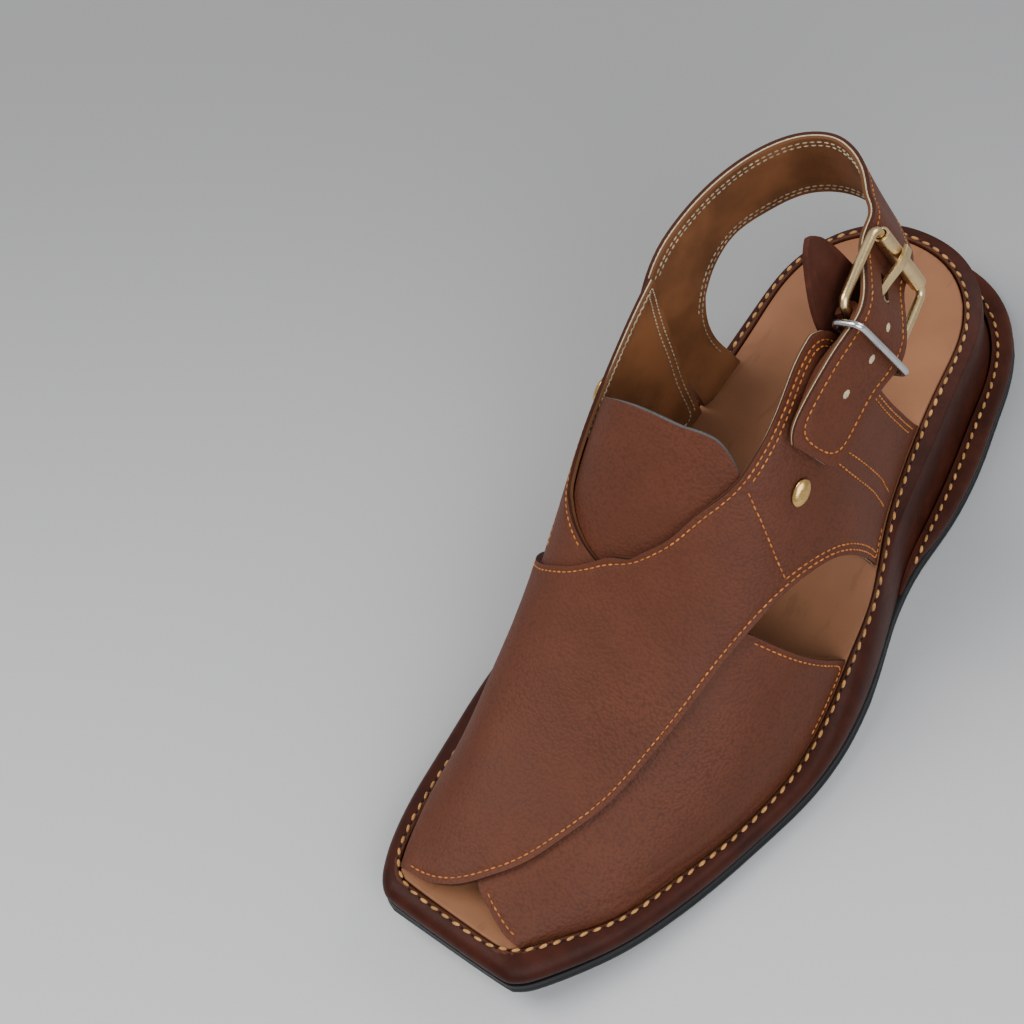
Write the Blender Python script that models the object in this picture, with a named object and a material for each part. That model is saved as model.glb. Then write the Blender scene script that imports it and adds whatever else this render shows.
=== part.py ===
"""Left leather chappal: crossed vamp straps, buckled heel strap, platform sole.

Toe towards -Y, heel towards +Y, lateral side +X, +Z up, metres.
"""
import math

import bmesh
import bpy
import numpy as np
from mathutils import Vector
from mathutils.geometry import delaunay_2d_cdt

# Driving sizes of the sole
SOLE_LENGTH = 0.290
BALL_WIDTH = 0.110
WAIST_WIDTH = 0.093
HEEL_WIDTH = 0.094
TOE_WIDTH = 0.058
TOE_CORNER = 0.006
TOE_SPRING = 0.010
SEAM_TOE_INSET = 0.0065
SEAM_HEEL_INSET = 0.0157
OUTSOLE_THICKNESS = 0.0055
OUTSOLE_RIB = 0.0004
FOREFOOT_HEIGHT = 0.0125
HEEL_HEIGHT = 0.037
WELT_THICKNESS = 0.0036
INSOLE_THICKNESS = 0.0025
INSOLE_DROP = 0.0008

# Driving sizes of the upper and its hardware
UPPER_WALL = 0.0020
OVERLAP_STEP = 0.0018
INSTEP_HEIGHT = 0.093
MEDIAL_BULGE = 0.008
UPPER_INSET = 0.0036
TONGUE_THICKNESS = 0.0018
STRAP_THICKNESS = 0.0024
STRAP_HEIGHT = 0.112
STRAP_WIDTH = 0.027
STRAP_SHIFT = -0.0016
BUCKLE_WIRE = 0.0030
BUCKLE_LENGTH = 0.0260
BUCKLE_WIDTH = 0.0340
BUCKLE_CORNER = 0.0035
ROLLER_DIAMETER = 0.0052
PRONG_WIDTH = 0.0032
PRONG_THICKNESS = 0.0014
PRONG_SHIFT = -0.0030
SLOT_PLAY = 0.0005
KEEPER_WIRE = 0.0022
KEEPER_PLACE = 0.0172
KEEPER_SLANT = 0.08
KEEPER_CORNER = 0.0024
KEEPER_DEPTH = 0.0008
FOLD_THICKNESS = 0.0020
TAB_THICKNESS = 0.0020
TAB_DEPTH = 0.0053
RIVET_LENGTH = 0.0090
RIVET_WIDTH = 0.0056
RIVET_DOME = 0.0016
GAP = 0.0003

STATIONS = 40
MILLI = 0.001

WIDTHS = {"toe": TOE_WIDTH, "ball": BALL_WIDTH, "waist": WAIST_WIDTH, "heel": HEEL_WIDTH}

# Plan sections: share of length, width that the row follows, then shares of that width
# for the sole's edge (medial, lateral) and the seam line (medial, lateral)
PLAN = (
    (0.00, "toe", -0.586, 0.310, -0.569, 0.216),
    (0.04, "ball", -0.377, 0.232, -0.341, 0.177),
    (0.10, "ball", -0.432, 0.318, -0.382, 0.280),
    (0.17, "ball", -0.466, 0.382, -0.405, 0.336),
    (0.27, "ball", -0.500, 0.448, -0.433, 0.409),
    (0.37, "ball", -0.495, 0.496, -0.425, 0.441),
    (0.43, "ball", -0.477, 0.493, -0.416, 0.435),
    (0.50, "waist", -0.543, 0.540, -0.481, 0.484),
    (0.58, "waist", -0.538, 0.460, -0.468, 0.441),
    (0.64, "waist", -0.559, 0.430, -0.460, 0.372),
    (0.70, "heel", -0.574, 0.428, -0.455, 0.314),
    (0.78, "heel", -0.585, 0.397, -0.467, 0.256),
    (0.86, "heel", -0.580, 0.335, -0.485, 0.213),
    (0.93, "heel", -0.548, 0.315, -0.495, 0.207),
    (1.00, "heel", -0.532, 0.309, -0.500, 0.202),
)

# Side of the platform, from its foot to the seam line: in the forefoot the share of the way
# from seam to sole edge and the share of height, then the same two at the heel
PLATFORM_SIDE = (
    (0.86, 0.00, 0.50, 0.00),
    (0.93, 0.25, 0.41, 0.22),
    (0.90, 0.55, 0.33, 0.48),
    (0.72, 0.82, 0.35, 0.76),
    (0.40, 0.97, 0.30, 0.94),
    (0.00, 1.00, 0.00, 1.00),
)

# Foot room above the insole: share of length, height as a share of the instep height,
# fullness of the medial and the lateral side, crest shift as a share of the ball width,
# and how far the medial side swells as a share of its bulge
LAST = (
    (0.00, 0.030, 2.0, 2.0, -0.018, 0.00),
    (0.05, 0.080, 2.2, 2.0, -0.036, 0.00),
    (0.12, 0.183, 2.4, 2.0, -0.055, 0.00),
    (0.20, 0.290, 2.6, 2.0, -0.073, 0.00),
    (0.30, 0.441, 2.8, 2.0, -0.091, 0.12),
    (0.40, 0.634, 3.0, 1.9, -0.109, 0.62),
    (0.50, 0.849, 3.1, 1.8, -0.109, 1.00),
    (0.58, 1.000, 3.1, 1.8, -0.100, 1.00),
    (0.66, 1.097, 3.1, 1.8, -0.091, 0.94),
    (0.74, 1.140, 3.1, 1.8, -0.082, 0.75),
    (0.82, 1.160, 3.1, 1.8, -0.073, 0.60),
)

# Edges of the straps on the foot room: share of length, and share of the girth from
# -1 at the medial seam to +1 at the lateral seam
OVER_FRONT = (
    (0.010, -1.00), (0.006, -0.60), (0.014, -0.19), (0.041, 0.08), (0.087, 0.22), (0.133, 0.29),
    (0.184, 0.35), (0.280, 0.375), (0.382, 0.42), (0.449, 0.50), (0.503, 0.60), (0.544, 0.70),
    (0.572, 0.82), (0.592, 0.94), (0.600, 1.00),
)
OVER_END = ((0.775, 1.00), (0.746, 0.87), (0.720, 0.74), (0.708, 0.65), (0.697, 0.53), (0.684, 0.43), (0.666, 0.388))
OVER_BACK = (
    (0.666, 0.388), (0.634, 0.368), (0.601, 0.352), (0.569, 0.335), (0.540, 0.315), (0.516, 0.290), (0.468, 0.180),
    (0.442, 0.12), (0.420, 0.04), (0.401, -0.03), (0.384, -0.14), (0.375, -0.30), (0.376, -0.50),
    (0.396, -0.72), (0.428, -0.90), (0.455, -1.00),
)
UNDER_FRONT = (
    (0.014, 1.00), (0.008, 0.76), (0.029, 0.31), (0.047, 0.13), (0.120, -0.12), (0.250, -0.36),
    (0.360, -0.52), (0.425, -0.62), (0.470, -0.72), (0.505, -0.84), (0.540, -0.94), (0.567, -1.00),
)
UNDER_END = ((0.662, -1.00), (0.661, -0.96), (0.664, -0.90), (0.662, -0.80), (0.655, -0.62), (0.640, -0.47))
UNDER_BACK = (
    (0.640, -0.47), (0.580, -0.49), (0.530, -0.52), (0.480, -0.53), (0.455, -0.50), (0.430, -0.38),
    (0.412, -0.26), (0.392, -0.06), (0.385, 0.15), (0.400, 0.34), (0.419, 0.46), (0.430, 0.57),
    (0.443, 0.68), (0.462, 0.80), (0.488, 0.94), (0.497, 1.00),
)
TONGUE_EDGE = (
    (0.350, -0.34), (0.385, -0.56), (0.440, -0.66), (0.490, -0.66), (0.520, -0.60), (0.529, -0.50),
    (0.524, -0.38), (0.520, -0.24), (0.519, -0.10), (0.521, 0.03), (0.526, 0.12), (0.529, 0.19),
    (0.526, 0.25), (0.516, 0.31), (0.490, 0.345), (0.430, 0.30), (0.385, 0.20), (0.350, 0.02),
)

# Heel strap where it lies on the medial quarter: front edge, rear edge, and how far it has
# come up onto the quarter
STRAP_BASE = (
    (0.669, -1.000, 0.744, -1.000, 0.0),
    (0.668, -0.992, 0.740, -0.995, 0.2),
    (0.666, -0.975, 0.735, -0.984, 0.8),
    (0.662, -0.945, 0.729, -0.967, 1.0),
    (0.654, -0.880, 0.726, -0.938, 1.0),
    (0.645, -0.800, 0.729, -0.908, 1.0),
    (0.636, -0.700, 0.736, -0.880, 1.0),
)
# Heel strap round the heel: top edge and bottom edge, each as x as a share of the heel width,
# y as a share of the sole length, z as a share of the strap's height
STRAP_LOOP = (
    (-0.524, 0.140, 0.930, -0.508, 0.2165, 0.664),
    (-0.528, 0.172, 0.975, -0.518, 0.234, 0.684),
    (-0.517, 0.214, 0.995, -0.521, 0.254, 0.697),
    (-0.495, 0.262, 1.000, -0.513, 0.281, 0.703),
    (-0.450, 0.306, 1.000, -0.475, 0.316, 0.699),
    (-0.375, 0.342, 1.000, -0.405, 0.354, 0.703),
    (-0.275, 0.358, 1.003, -0.290, 0.372, 0.717),
    (-0.165, 0.343, 1.018, -0.155, 0.368, 0.742),
    (-0.043, 0.300, 1.054, 0.030, 0.326, 0.790),
)
# Heel strap through the buckle, inner face: millimetres from the buckle's middle towards the
# roller, and outwards from the frame's plane
STRAP_BUCKLE = (
    (18.0, -5.4), (13.0, -5.4), (9.2, -4.9), (4.2, -2.7), (1.2, -1.1), (-3.9, 1.5), (-8.5, 3.4),
    (-13.0, 4.3), (-16.5, 4.1),
)
# Where the slot for the prong starts and ends along the heel strap, millimetres as above
STRAP_SLOT = (-4.0, 4.3)
# Prong's inner face from the hinge bar to its tip, millimetres as above
PRONG_PATH = ((-9.0, 1.0), (-4.0, -0.3), (1.0, -0.2), (6.0, 1.3), (10.4, 2.95), (13.5, 2.95), (15.6, 2.4))
# Heel strap's free end, on the lateral quarter: top edge, bottom edge, height over the quarter
# at both edges in thicknesses of the strap
STRAP_END = (
    (0.672, 0.419, 0.700, 0.604, 2.45, 3.00),
    (0.641, 0.410, 0.670, 0.598, 1.80, 2.00),
    (0.616, 0.395, 0.638, 0.590, 1.50, 1.60),
    (0.593, 0.379, 0.608, 0.569, 1.42, 1.45),
    (0.579, 0.376, 0.591, 0.546, 1.40, 1.40),
    (0.572, 0.392, 0.582, 0.520, 1.40, 1.40),
)
# Buckle strap where it lies on the lateral quarter: front end first, top edge and bottom edge
BUCKLE_STRAP = (
    (0.597, 0.400, 0.606, 0.545),
    (0.618, 0.410, 0.632, 0.572),
    (0.642, 0.420, 0.660, 0.590),
)
# Buckle strap's inner face from the quarter to the hinge bar, millimetres as above
BUCKLE_FOLD = ((-24.0, -0.2), (-22.0, 0.8), (-19.5, 1.3), (-17.6, 1.6), (-15.5, 1.9))
# Tab behind the buckle: outline in the buckle's plane, millimetres along and down
TAB_EDGE = (
    (-21.0, 8.0), (-21.2, -2.0), (-20.4, -13.0), (-17.0, -21.0), (-12.0, -28.0), (-7.5, -33.5),
    (-3.5, -35.3), (-0.5, -33.0), (1.5, -27.0), (2.6, -18.0), (3.2, -8.0), (3.4, 8.0),
)

# Rivets on the quarters: share of length and girth
LATERAL_RIVET = (0.551, 0.49)
MEDIAL_RIVET = (0.550, -0.66)

# Middle of the buckle on the last (share of length, girth, height above the foot room), the
# way down along its bars and the way from hinge bar to roller
BUCKLE_PLACE = (0.7644, 0.5319, 0.0049)
BUCKLE_DOWN = (0.3254, 0.1702, -0.9301)
BUCKLE_BACK = (-0.1907, 0.9753, 0.1118)


def smooth(value):
    """Ease from 0 to 1."""
    value = np.clip(value, 0.0, 1.0)
    return value * value * (3.0 - 2.0 * value)


def curve(stations, values, at):
    """Smooth curve through a table's column."""
    stations = np.asarray(stations, float)
    values = np.asarray(values, float)
    at = np.atleast_1d(np.asarray(at, float))
    slopes = np.gradient(values, stations)
    row = np.clip(np.searchsorted(stations, at) - 1, 0, len(stations) - 2)
    span = stations[row + 1] - stations[row]
    t = np.clip((at - stations[row]) / span, 0.0, 1.0)
    start = (2 * t ** 3 - 3 * t ** 2 + 1) * values[row] + (t ** 3 - 2 * t ** 2 + t) * span * slopes[row]
    end = (3 * t ** 2 - 2 * t ** 3) * values[row + 1] + (t ** 3 - t ** 2) * span * slopes[row + 1]
    return start + end


def spring(at):
    """Height of the sole's underside, which lifts at the toe."""
    return TOE_SPRING * np.clip((0.25 - np.asarray(at, float)) / 0.25, 0.0, 1.0) ** 1.7


def rim_height(at):
    """Height of the platform's stitched rim."""
    rise = smooth((np.asarray(at, float) - 0.35) / 0.33)
    return FOREFOOT_HEIGHT + (HEEL_HEIGHT - FOREFOOT_HEIGHT) * rise + spring(at)


def plan_side(at, line, lateral):
    """Plan points of one side of the sole's edge or of the seam line."""
    at = np.atleast_1d(np.asarray(at, float))
    stations = [row[0] for row in PLAN]
    first = 2 if line == "edge" else 4
    medial_x = [row[first] * WIDTHS[row[1]] for row in PLAN]
    lateral_x = [row[first + 1] * WIDTHS[row[1]] for row in PLAN]
    centre = curve(stations, np.add(medial_x, lateral_x) / 2, at)
    half = curve(stations, np.subtract(lateral_x, medial_x) / 2, at)
    toe = 0.0 if line == "edge" else SEAM_TOE_INSET
    heel = 0.0 if line == "edge" else SEAM_HEEL_INSET
    length = SOLE_LENGTH - toe - heel
    heel_share = np.clip((at - 0.84) / 0.16, 0.0, 1.0)
    half = half * (1.0 - heel_share ** 2.2) ** (1 / 2.2)
    corner = np.clip(at * length / TOE_CORNER, 0.0, 1.0)
    half = half - 0.7 * TOE_CORNER * (1.0 - np.sqrt(1.0 - (1.0 - corner) ** 2))
    x = centre + (half if lateral else -half)
    y = -SOLE_LENGTH / 2 + toe + at * length
    return np.stack([x, y], axis=1)


def stations():
    """Shares of length for the sole's sections, closer at the toe corners and the heel."""
    toe = np.array([0.0, 0.003, 0.008, 0.015, 0.025])
    body = np.linspace(0.05, 0.84, STATIONS - 15)
    heel = 0.84 + 0.16 * np.sin(np.linspace(0.0, math.pi / 2, 11)[1:])
    return np.concatenate([toe, body, heel])


def ring_frame(at):
    """Seam point, outward direction and distance to the sole's edge all the way round."""
    order = [(t, True) for t in at] + [(t, False) for t in at[::-1][1:]]
    share = np.array([item[0] for item in order])
    seam = np.array([plan_side(t, "seam", side)[0] for t, side in order])
    edge = np.array([plan_side(t, "edge", side)[0] for t, side in order])
    reach = np.linalg.norm(edge - seam, axis=1)
    return share, seam, (edge - seam) / reach[:, None], reach


def seam_share(y):
    """Share of the seam line's length at a place along the sole."""
    return (y + SOLE_LENGTH / 2 - SEAM_TOE_INSET) / (SOLE_LENGTH - SEAM_TOE_INSET - SEAM_HEEL_INSET)


def ring(frame, outward, height):
    """A closed ring of points, a distance outwards from the seam line.

    The height is a row of numbers, or a function of the share of length where a point lies.
    """
    share, seam, direction, reach = frame
    points = seam + direction * np.asarray(outward)[:, None]
    if callable(height):
        height = height(seam_share(points[:, 1]))
    return [Vector((p[0], p[1], z)) for p, z in zip(points, height)]


def new_object(name, mesh_builder, colour, roughness, metallic=0.0, smooth_angle=40.0):
    """Finish a bmesh as an object with its own material."""
    mesh = bpy.data.meshes.new(name)
    mesh_builder.normal_update()
    bmesh.ops.recalc_face_normals(mesh_builder, faces=mesh_builder.faces)
    mesh_builder.to_mesh(mesh)
    mesh_builder.free()
    material = bpy.data.materials.new(name)
    material.use_nodes = True
    shader = material.node_tree.nodes["Principled BSDF"]
    shader.inputs["Base Color"].default_value = (*colour, 1.0)
    shader.inputs["Roughness"].default_value = roughness
    shader.inputs["Metallic"].default_value = metallic
    mesh.materials.append(material)
    mesh.shade_smooth()
    mesh.set_sharp_from_angle(angle=math.radians(smooth_angle))
    part = bpy.data.objects.new(name, mesh)
    bpy.context.scene.collection.objects.link(part)
    return part


def stack_rings(rings, cap_pairs):
    """Skin closed rings one above another, and close both ends with strips across."""
    solid = bmesh.new()
    levels = [[solid.verts.new(p) for p in points] for points in rings]
    count = len(levels[0])
    for low, high in zip(levels[:-1], levels[1:]):
        for i in range(count):
            j = (i + 1) % count
            solid.faces.new((low[i], low[j], high[j], high[i]))
    for level, flip in ((levels[0], True), (levels[-1], False)):
        for (a, b), (c, d) in zip(cap_pairs[:-1], cap_pairs[1:]):
            loop = [level[a], level[c]] + ([level[d]] if d != c else []) + [level[b]]
            solid.faces.new(loop[::-1] if flip else loop)
    return solid


def cap_pairs(at):
    """Indices of the lateral and medial points that face each other across the sole."""
    last = 2 * len(at) - 2
    return [(i, last - i) for i in range(len(at))]


def heel_weight(at):
    """0 where the platform is low and rounded, 1 where it is the tall hollowed heel band."""
    return smooth((np.asarray(at, float) - 0.54) / 0.12)


def platform_share(row, at):
    """Outward share of one row of the platform's side."""
    weight = heel_weight(at)
    return row[0] * (1 - weight) + row[2] * weight


def build_outsole(at, frame):
    share, _, _, reach = frame
    base = spring(share)
    levels = (
        (0.0008, 0.0),
        (0.0, 0.0008),
        (0.0, 0.45 * OUTSOLE_THICKNESS),
        (OUTSOLE_RIB, 0.55 * OUTSOLE_THICKNESS),
        (OUTSOLE_RIB, OUTSOLE_THICKNESS),
    )
    rings = [ring(frame, reach - inset, base + height) for inset, height in levels]
    return new_object("outsole", stack_rings(rings, cap_pairs(at)), (0.012, 0.013, 0.013), 0.45)


def insole_seat(share):
    """Height of the platform's floor under the insole."""
    return rim_height(share) - INSOLE_DROP - INSOLE_THICKNESS - GAP


def build_midsole(at, frame):
    share, _, _, reach = frame
    foot = spring(share) + OUTSOLE_THICKNESS + GAP
    top = rim_height(share)
    weight = heel_weight(share)
    rings = []
    for row in PLATFORM_SIDE:
        rise = row[1] * (1 - weight) + row[3] * weight
        rings.append(ring(frame, reach * platform_share(row, share), foot + (top - foot) * rise))
    lip = np.full(len(share), -UPPER_INSET / 3)
    rings.append(ring(frame, lip, lambda t: rim_height(t) - GAP))
    rings.append(ring(frame, lip - 0.1 * MILLI, insole_seat))
    return new_object("midsole", stack_rings(rings, cap_pairs(at)), (0.072, 0.020, 0.011), 0.42)


def build_insole(at, frame):
    inset = np.full(len(frame[0]), -UPPER_INSET / 3 - 0.1 * MILLI - GAP)
    chamfer = 0.25 * INSOLE_THICKNESS
    rings = [
        ring(frame, inset, lambda t: insole_seat(t) + GAP),
        ring(frame, inset, lambda t: rim_height(t) - INSOLE_DROP - chamfer),
        ring(frame, inset - chamfer, lambda t: rim_height(t) - INSOLE_DROP),
    ]
    return new_object("insole", stack_rings(rings, cap_pairs(at)), (0.39, 0.19, 0.115), 0.5)


def build_welt():
    """Ledge round the heel, from waist to waist, that carries the second row of stitches."""
    start = 0.605
    at = np.concatenate([np.linspace(start, 0.84, 11), 0.84 + 0.16 * np.sin(np.linspace(0, math.pi / 2, 11)[1:])])
    share, seam, direction, reach = ring_frame(at)
    inner = reach * platform_share(PLATFORM_SIDE[0], share) + GAP
    grow = smooth((share - start) / 0.07)
    outer = inner + 0.0010 + (reach * 0.96 - inner - 0.0010) * grow
    foot = spring(share) + OUTSOLE_THICKNESS + GAP
    rise = WELT_THICKNESS * (0.35 + 0.65 * grow)
    section = (
        (0.0, 0.0),
        (0.97, 0.0),
        (1.00, 0.50),
        (0.93, 0.92),
        (0.75, 1.00),
        (0.0, 1.00),
    )
    solid = bmesh.new()
    columns = []
    for i in range(len(share)):
        column = []
        for across, up in section:
            p = seam[i] + direction[i] * (inner[i] + (outer[i] - inner[i]) * across)
            column.append(solid.verts.new((p[0], p[1], foot[i] + rise[i] * up)))
        columns.append(column)
    skin_columns(solid, columns)
    return new_object("heel_welt", solid, (0.085, 0.025, 0.013), 0.45)


def skin_columns(solid, columns):
    """Skin closed cross-sections into a bar with flat ends."""
    count = len(columns[0])
    for here, there in zip(columns[:-1], columns[1:]):
        for i in range(count):
            j = (i + 1) % count
            solid.faces.new((here[i], here[j], there[j], there[i]))
    solid.faces.new(columns[0][::-1])
    solid.faces.new(columns[-1])


def foot_room(at, girth):
    """Inner surface of the upper: girth runs from -1 at the medial seam to +1 at the lateral."""
    at = np.atleast_1d(np.asarray(at, float))
    girth = np.atleast_1d(np.asarray(girth, float))
    columns = list(zip(*LAST))
    height = INSTEP_HEIGHT * curve(columns[0], columns[1], at)
    full = np.where(girth < 0, curve(columns[0], columns[2], at), curve(columns[0], columns[3], at))
    crest = BALL_WIDTH * curve(columns[0], columns[4], at)
    swell = MEDIAL_BULGE * curve(columns[0], columns[5], at)
    length = SOLE_LENGTH - SEAM_TOE_INSET - SEAM_HEEL_INSET
    share = at + UPPER_INSET / length * np.clip(1.0 - at / 0.06, 0.0, 1.0) ** 2
    medial = plan_side(share, "seam", False)
    lateral = plan_side(share, "seam", True)
    step = 0.01
    medial_slope = (plan_side(share + step, "seam", False)[:, 0] - medial[:, 0]) / (step * length)
    lateral_slope = (plan_side(share + step, "seam", True)[:, 0] - lateral[:, 0]) / (step * length)
    medial_x = medial[:, 0] + UPPER_INSET * np.sqrt(1.0 + medial_slope ** 2)
    lateral_x = lateral[:, 0] - UPPER_INSET * np.sqrt(1.0 + lateral_slope ** 2)
    middle = (medial_x + lateral_x) / 2 + crest
    angle = np.abs(girth) * math.pi / 2
    out = np.sin(angle) ** (2 / full)
    up = np.cos(angle).clip(0.0, 1.0) ** (2 / full)
    half = np.where(girth < 0, middle - medial_x, lateral_x - middle)
    x = middle + half * np.sign(girth) * out
    x = x - np.where(girth < 0, swell * np.sin(math.pi * up * 0.8), 0.0)
    z = rim_height(share) - INSOLE_DROP + GAP + height * up
    return np.stack([x, medial[:, 1], z], axis=1)


def shell_points(at, girth, offset):
    """Points a distance outside the foot room, along its surface's normal."""
    at = np.atleast_1d(np.asarray(at, float))
    girth = np.atleast_1d(np.asarray(girth, float))
    step = 0.001
    along = foot_room(at + step, girth) - foot_room(at - step, girth)
    high = np.clip(girth + step, -1.0, 1.0)
    low = np.clip(girth - step, -1.0, 1.0)
    around = foot_room(at, high) - foot_room(at, low)
    normal = np.cross(around, along)
    normal = normal / np.linalg.norm(normal, axis=1)[:, None]
    normal[:, 2] *= 1.0 - smooth((np.abs(girth) - 0.88) / 0.12)
    return foot_room(at, girth) + normal * np.asarray(offset, float).reshape(-1, 1)


def smooth_edge(rows, per_span=4):
    """Points along a smooth curve through an edge's rows."""
    rows = np.asarray(rows, float)
    steps = np.linalg.norm(np.diff(rows * (2.7, 1.0), axis=0), axis=1)
    way = np.concatenate([[0.0], np.cumsum(steps)])
    at = np.unique(np.concatenate([np.linspace(a, b, per_span + 1) for a, b in zip(way[:-1], way[1:])]))
    return np.stack([curve(way, rows[:, 0], at), curve(way, rows[:, 1], at)], axis=1)


def seam_run(start, end, girth, step=0.02):
    """Points along a seam at one side."""
    count = max(2, int(round(abs(end - start) / step)) + 1)
    return np.stack([np.linspace(start, end, count), np.full(count, girth)], axis=1)


def closed_outline(*runs):
    """Join runs of points into one closed outline without doubled ends."""
    points = []
    for run in runs:
        for p in run:
            if not points or np.linalg.norm(np.subtract(p, points[-1])) > 0.002:
                points.append((float(p[0]), float(np.clip(p[1], -1.0, 1.0))))
    if np.linalg.norm(np.subtract(points[0], points[-1])) < 0.002:
        points.pop()
    return points


def inside(outline, points):
    """Which points lie inside an outline."""
    outline = np.asarray(outline)
    points = np.atleast_2d(points)
    hit = np.zeros(len(points), bool)
    for (x0, y0), (x1, y1) in zip(outline, np.roll(outline, -1, axis=0)):
        crosses = (y0 > points[:, 1]) != (y1 > points[:, 1])
        rise = y1 - y0 if y1 != y0 else 1e-12
        hit ^= crosses & (points[:, 0] < (x1 - x0) * (points[:, 1] - y0) / rise + x0)
    return hit


def distance_to(outline, points):
    """Shortest distance from points to an outline, in shares of girth."""
    scale = np.array([2.7, 1.0])
    a = np.asarray(outline) * scale
    b = np.roll(a, -1, axis=0)
    points = np.atleast_2d(points) * scale
    best = np.full(len(points), np.inf)
    for p, q in zip(a, b):
        way = q - p
        t = np.clip(((points - p) @ way) / max(way @ way, 1e-12), 0.0, 1.0)
        best = np.minimum(best, np.linalg.norm(points - p - t[:, None] * way, axis=1))
    return best


def flat_mesh(outlines, spacing):
    """Triangles of the area that the outlines cover, with their edges kept."""
    scale = np.array([2.7, 1.0])
    points = []
    edges = []
    for outline in outlines:
        first = len(points)
        points += [tuple(np.multiply(p, scale)) for p in outline]
        edges += [(first + i, first + (i + 1) % len(outline)) for i in range(len(outline))]
    low = np.min(points, axis=0)
    high = np.max(points, axis=0)
    across = np.arange(low[0], high[0], spacing)
    rows = np.arange(low[1], high[1], spacing)
    grid = np.array([(x + (k % 2) * spacing / 2, y) for k, y in enumerate(rows) for x in across]) / scale
    covered = np.zeros(len(grid), bool)
    clear = np.ones(len(grid), bool)
    for outline in outlines:
        covered |= inside(outline, grid)
        clear &= distance_to(outline, grid) > 0.5 * spacing
    points += [tuple(np.multiply(p, scale)) for p in grid[covered & clear]]
    verts, _, faces, *_ = delaunay_2d_cdt([Vector(p) for p in points], edges, [], 0, 1e-5, False)
    verts = np.array([v[:] for v in verts]) / scale
    middles = np.array([verts[list(face)].mean(axis=0) for face in faces])
    layers = np.array([inside(outline, middles) for outline in outlines])
    return verts, faces, middles, layers


def shell_solid(outlines, inner, outer, spacing):
    """One closed solid between an inner offset and each outline's own outer offset.

    The first outline that covers a face is the one on top there, so its edge over the
    next one is a step in the wall.
    """
    verts, faces, _, layers = flat_mesh(outlines, spacing)
    heights = [np.asarray(offset(verts), float) for offset in outer]
    skin = []
    levels = {}
    for number, face in enumerate(faces):
        if not layers[:, number].any():
            continue
        layer = int(np.argmax(layers[:, number]))
        corners = list(face)
        a, b, c = verts[corners]
        if (b[0] - a[0]) * (c[1] - a[1]) - (b[1] - a[1]) * (c[0] - a[0]) < 0:
            corners.reverse()
        skin.append((corners, [round(float(heights[layer][i]), 7) for i in corners]))
        for i, height in zip(*skin[-1]):
            levels.setdefault(i, {inner}).add(height)

    solid = bmesh.new()
    keys = [(i, height) for i, group in levels.items() for height in sorted(group)]
    index = np.array([key[0] for key in keys])
    points = shell_points(verts[index, 0], verts[index, 1], [key[1] for key in keys])
    made = {key: solid.verts.new(point) for key, point in zip(keys, points)}

    tops = {}
    for corners, high in skin:
        solid.faces.new([made[(i, h)] for i, h in zip(corners, high)][::-1])
        solid.faces.new([made[(i, inner)] for i in corners])
        for k in range(3):
            tops[(corners[k], corners[(k + 1) % 3])] = (high[k], high[(k + 1) % 3])
    for (i, j), (hi, hj) in tops.items():
        other = tops.get((j, i))
        gi, gj = (other[1], other[0]) if other else (inner, inner)
        if hi + hj <= gi + gj:
            continue
        down = [made[(j, h)] for h in sorted(levels[j], reverse=True) if gj <= h <= hj]
        back_up = [made[(i, h)] for h in sorted(levels[i]) if gi <= h <= hi]
        solid.faces.new(down + back_up)
    return solid


def over_outline():
    """Outline of the strap that runs from the medial forefoot to the lateral quarter."""
    return closed_outline(
        smooth_edge(OVER_FRONT), seam_run(0.600, 0.775, 1.0), smooth_edge(OVER_END),
        smooth_edge(OVER_BACK), seam_run(0.455, 0.010, -1.0))


def under_outline():
    """Outline of the strap that runs from the lateral forefoot to the medial quarter."""
    return closed_outline(
        smooth_edge(UNDER_FRONT), seam_run(0.567, 0.662, -1.0), smooth_edge(UNDER_END),
        smooth_edge(UNDER_BACK), seam_run(0.497, 0.014, 1.0))


def over_offset(points):
    """Thickness of the upper strap's wall, a step more where it crosses the lower strap."""
    points = np.atleast_2d(points)
    under = under_outline()
    away = np.where(inside(under, points), 0.0, distance_to(under, points))
    clear_of_seam = 1.0 - smooth((np.abs(points[:, 1]) - 0.72) / 0.2)
    return UPPER_WALL + OVERLAP_STEP * (1.0 - smooth((away - 0.002) / 0.45)) * clear_of_seam


def under_offset(points):
    """Thickness of the lower strap's wall."""
    return np.full(len(points), UPPER_WALL)


def build_upper():
    """Both crossing straps and their quarters as one wall, the upper strap a step higher."""
    solid = shell_solid([over_outline(), under_outline()], 0.0, [over_offset, under_offset], 0.062)
    return new_object("upper", solid, (0.135, 0.044, 0.022), 0.5)


def build_tongue():
    edge = smooth_edge(TONGUE_EDGE + TONGUE_EDGE[:1], 3)
    outline = closed_outline(edge)
    solid = shell_solid([outline], -GAP - TONGUE_THICKNESS, [lambda points: np.full(len(points), -GAP)], 0.075)
    return new_object("tongue", solid, (0.125, 0.040, 0.021), 0.5)


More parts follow.
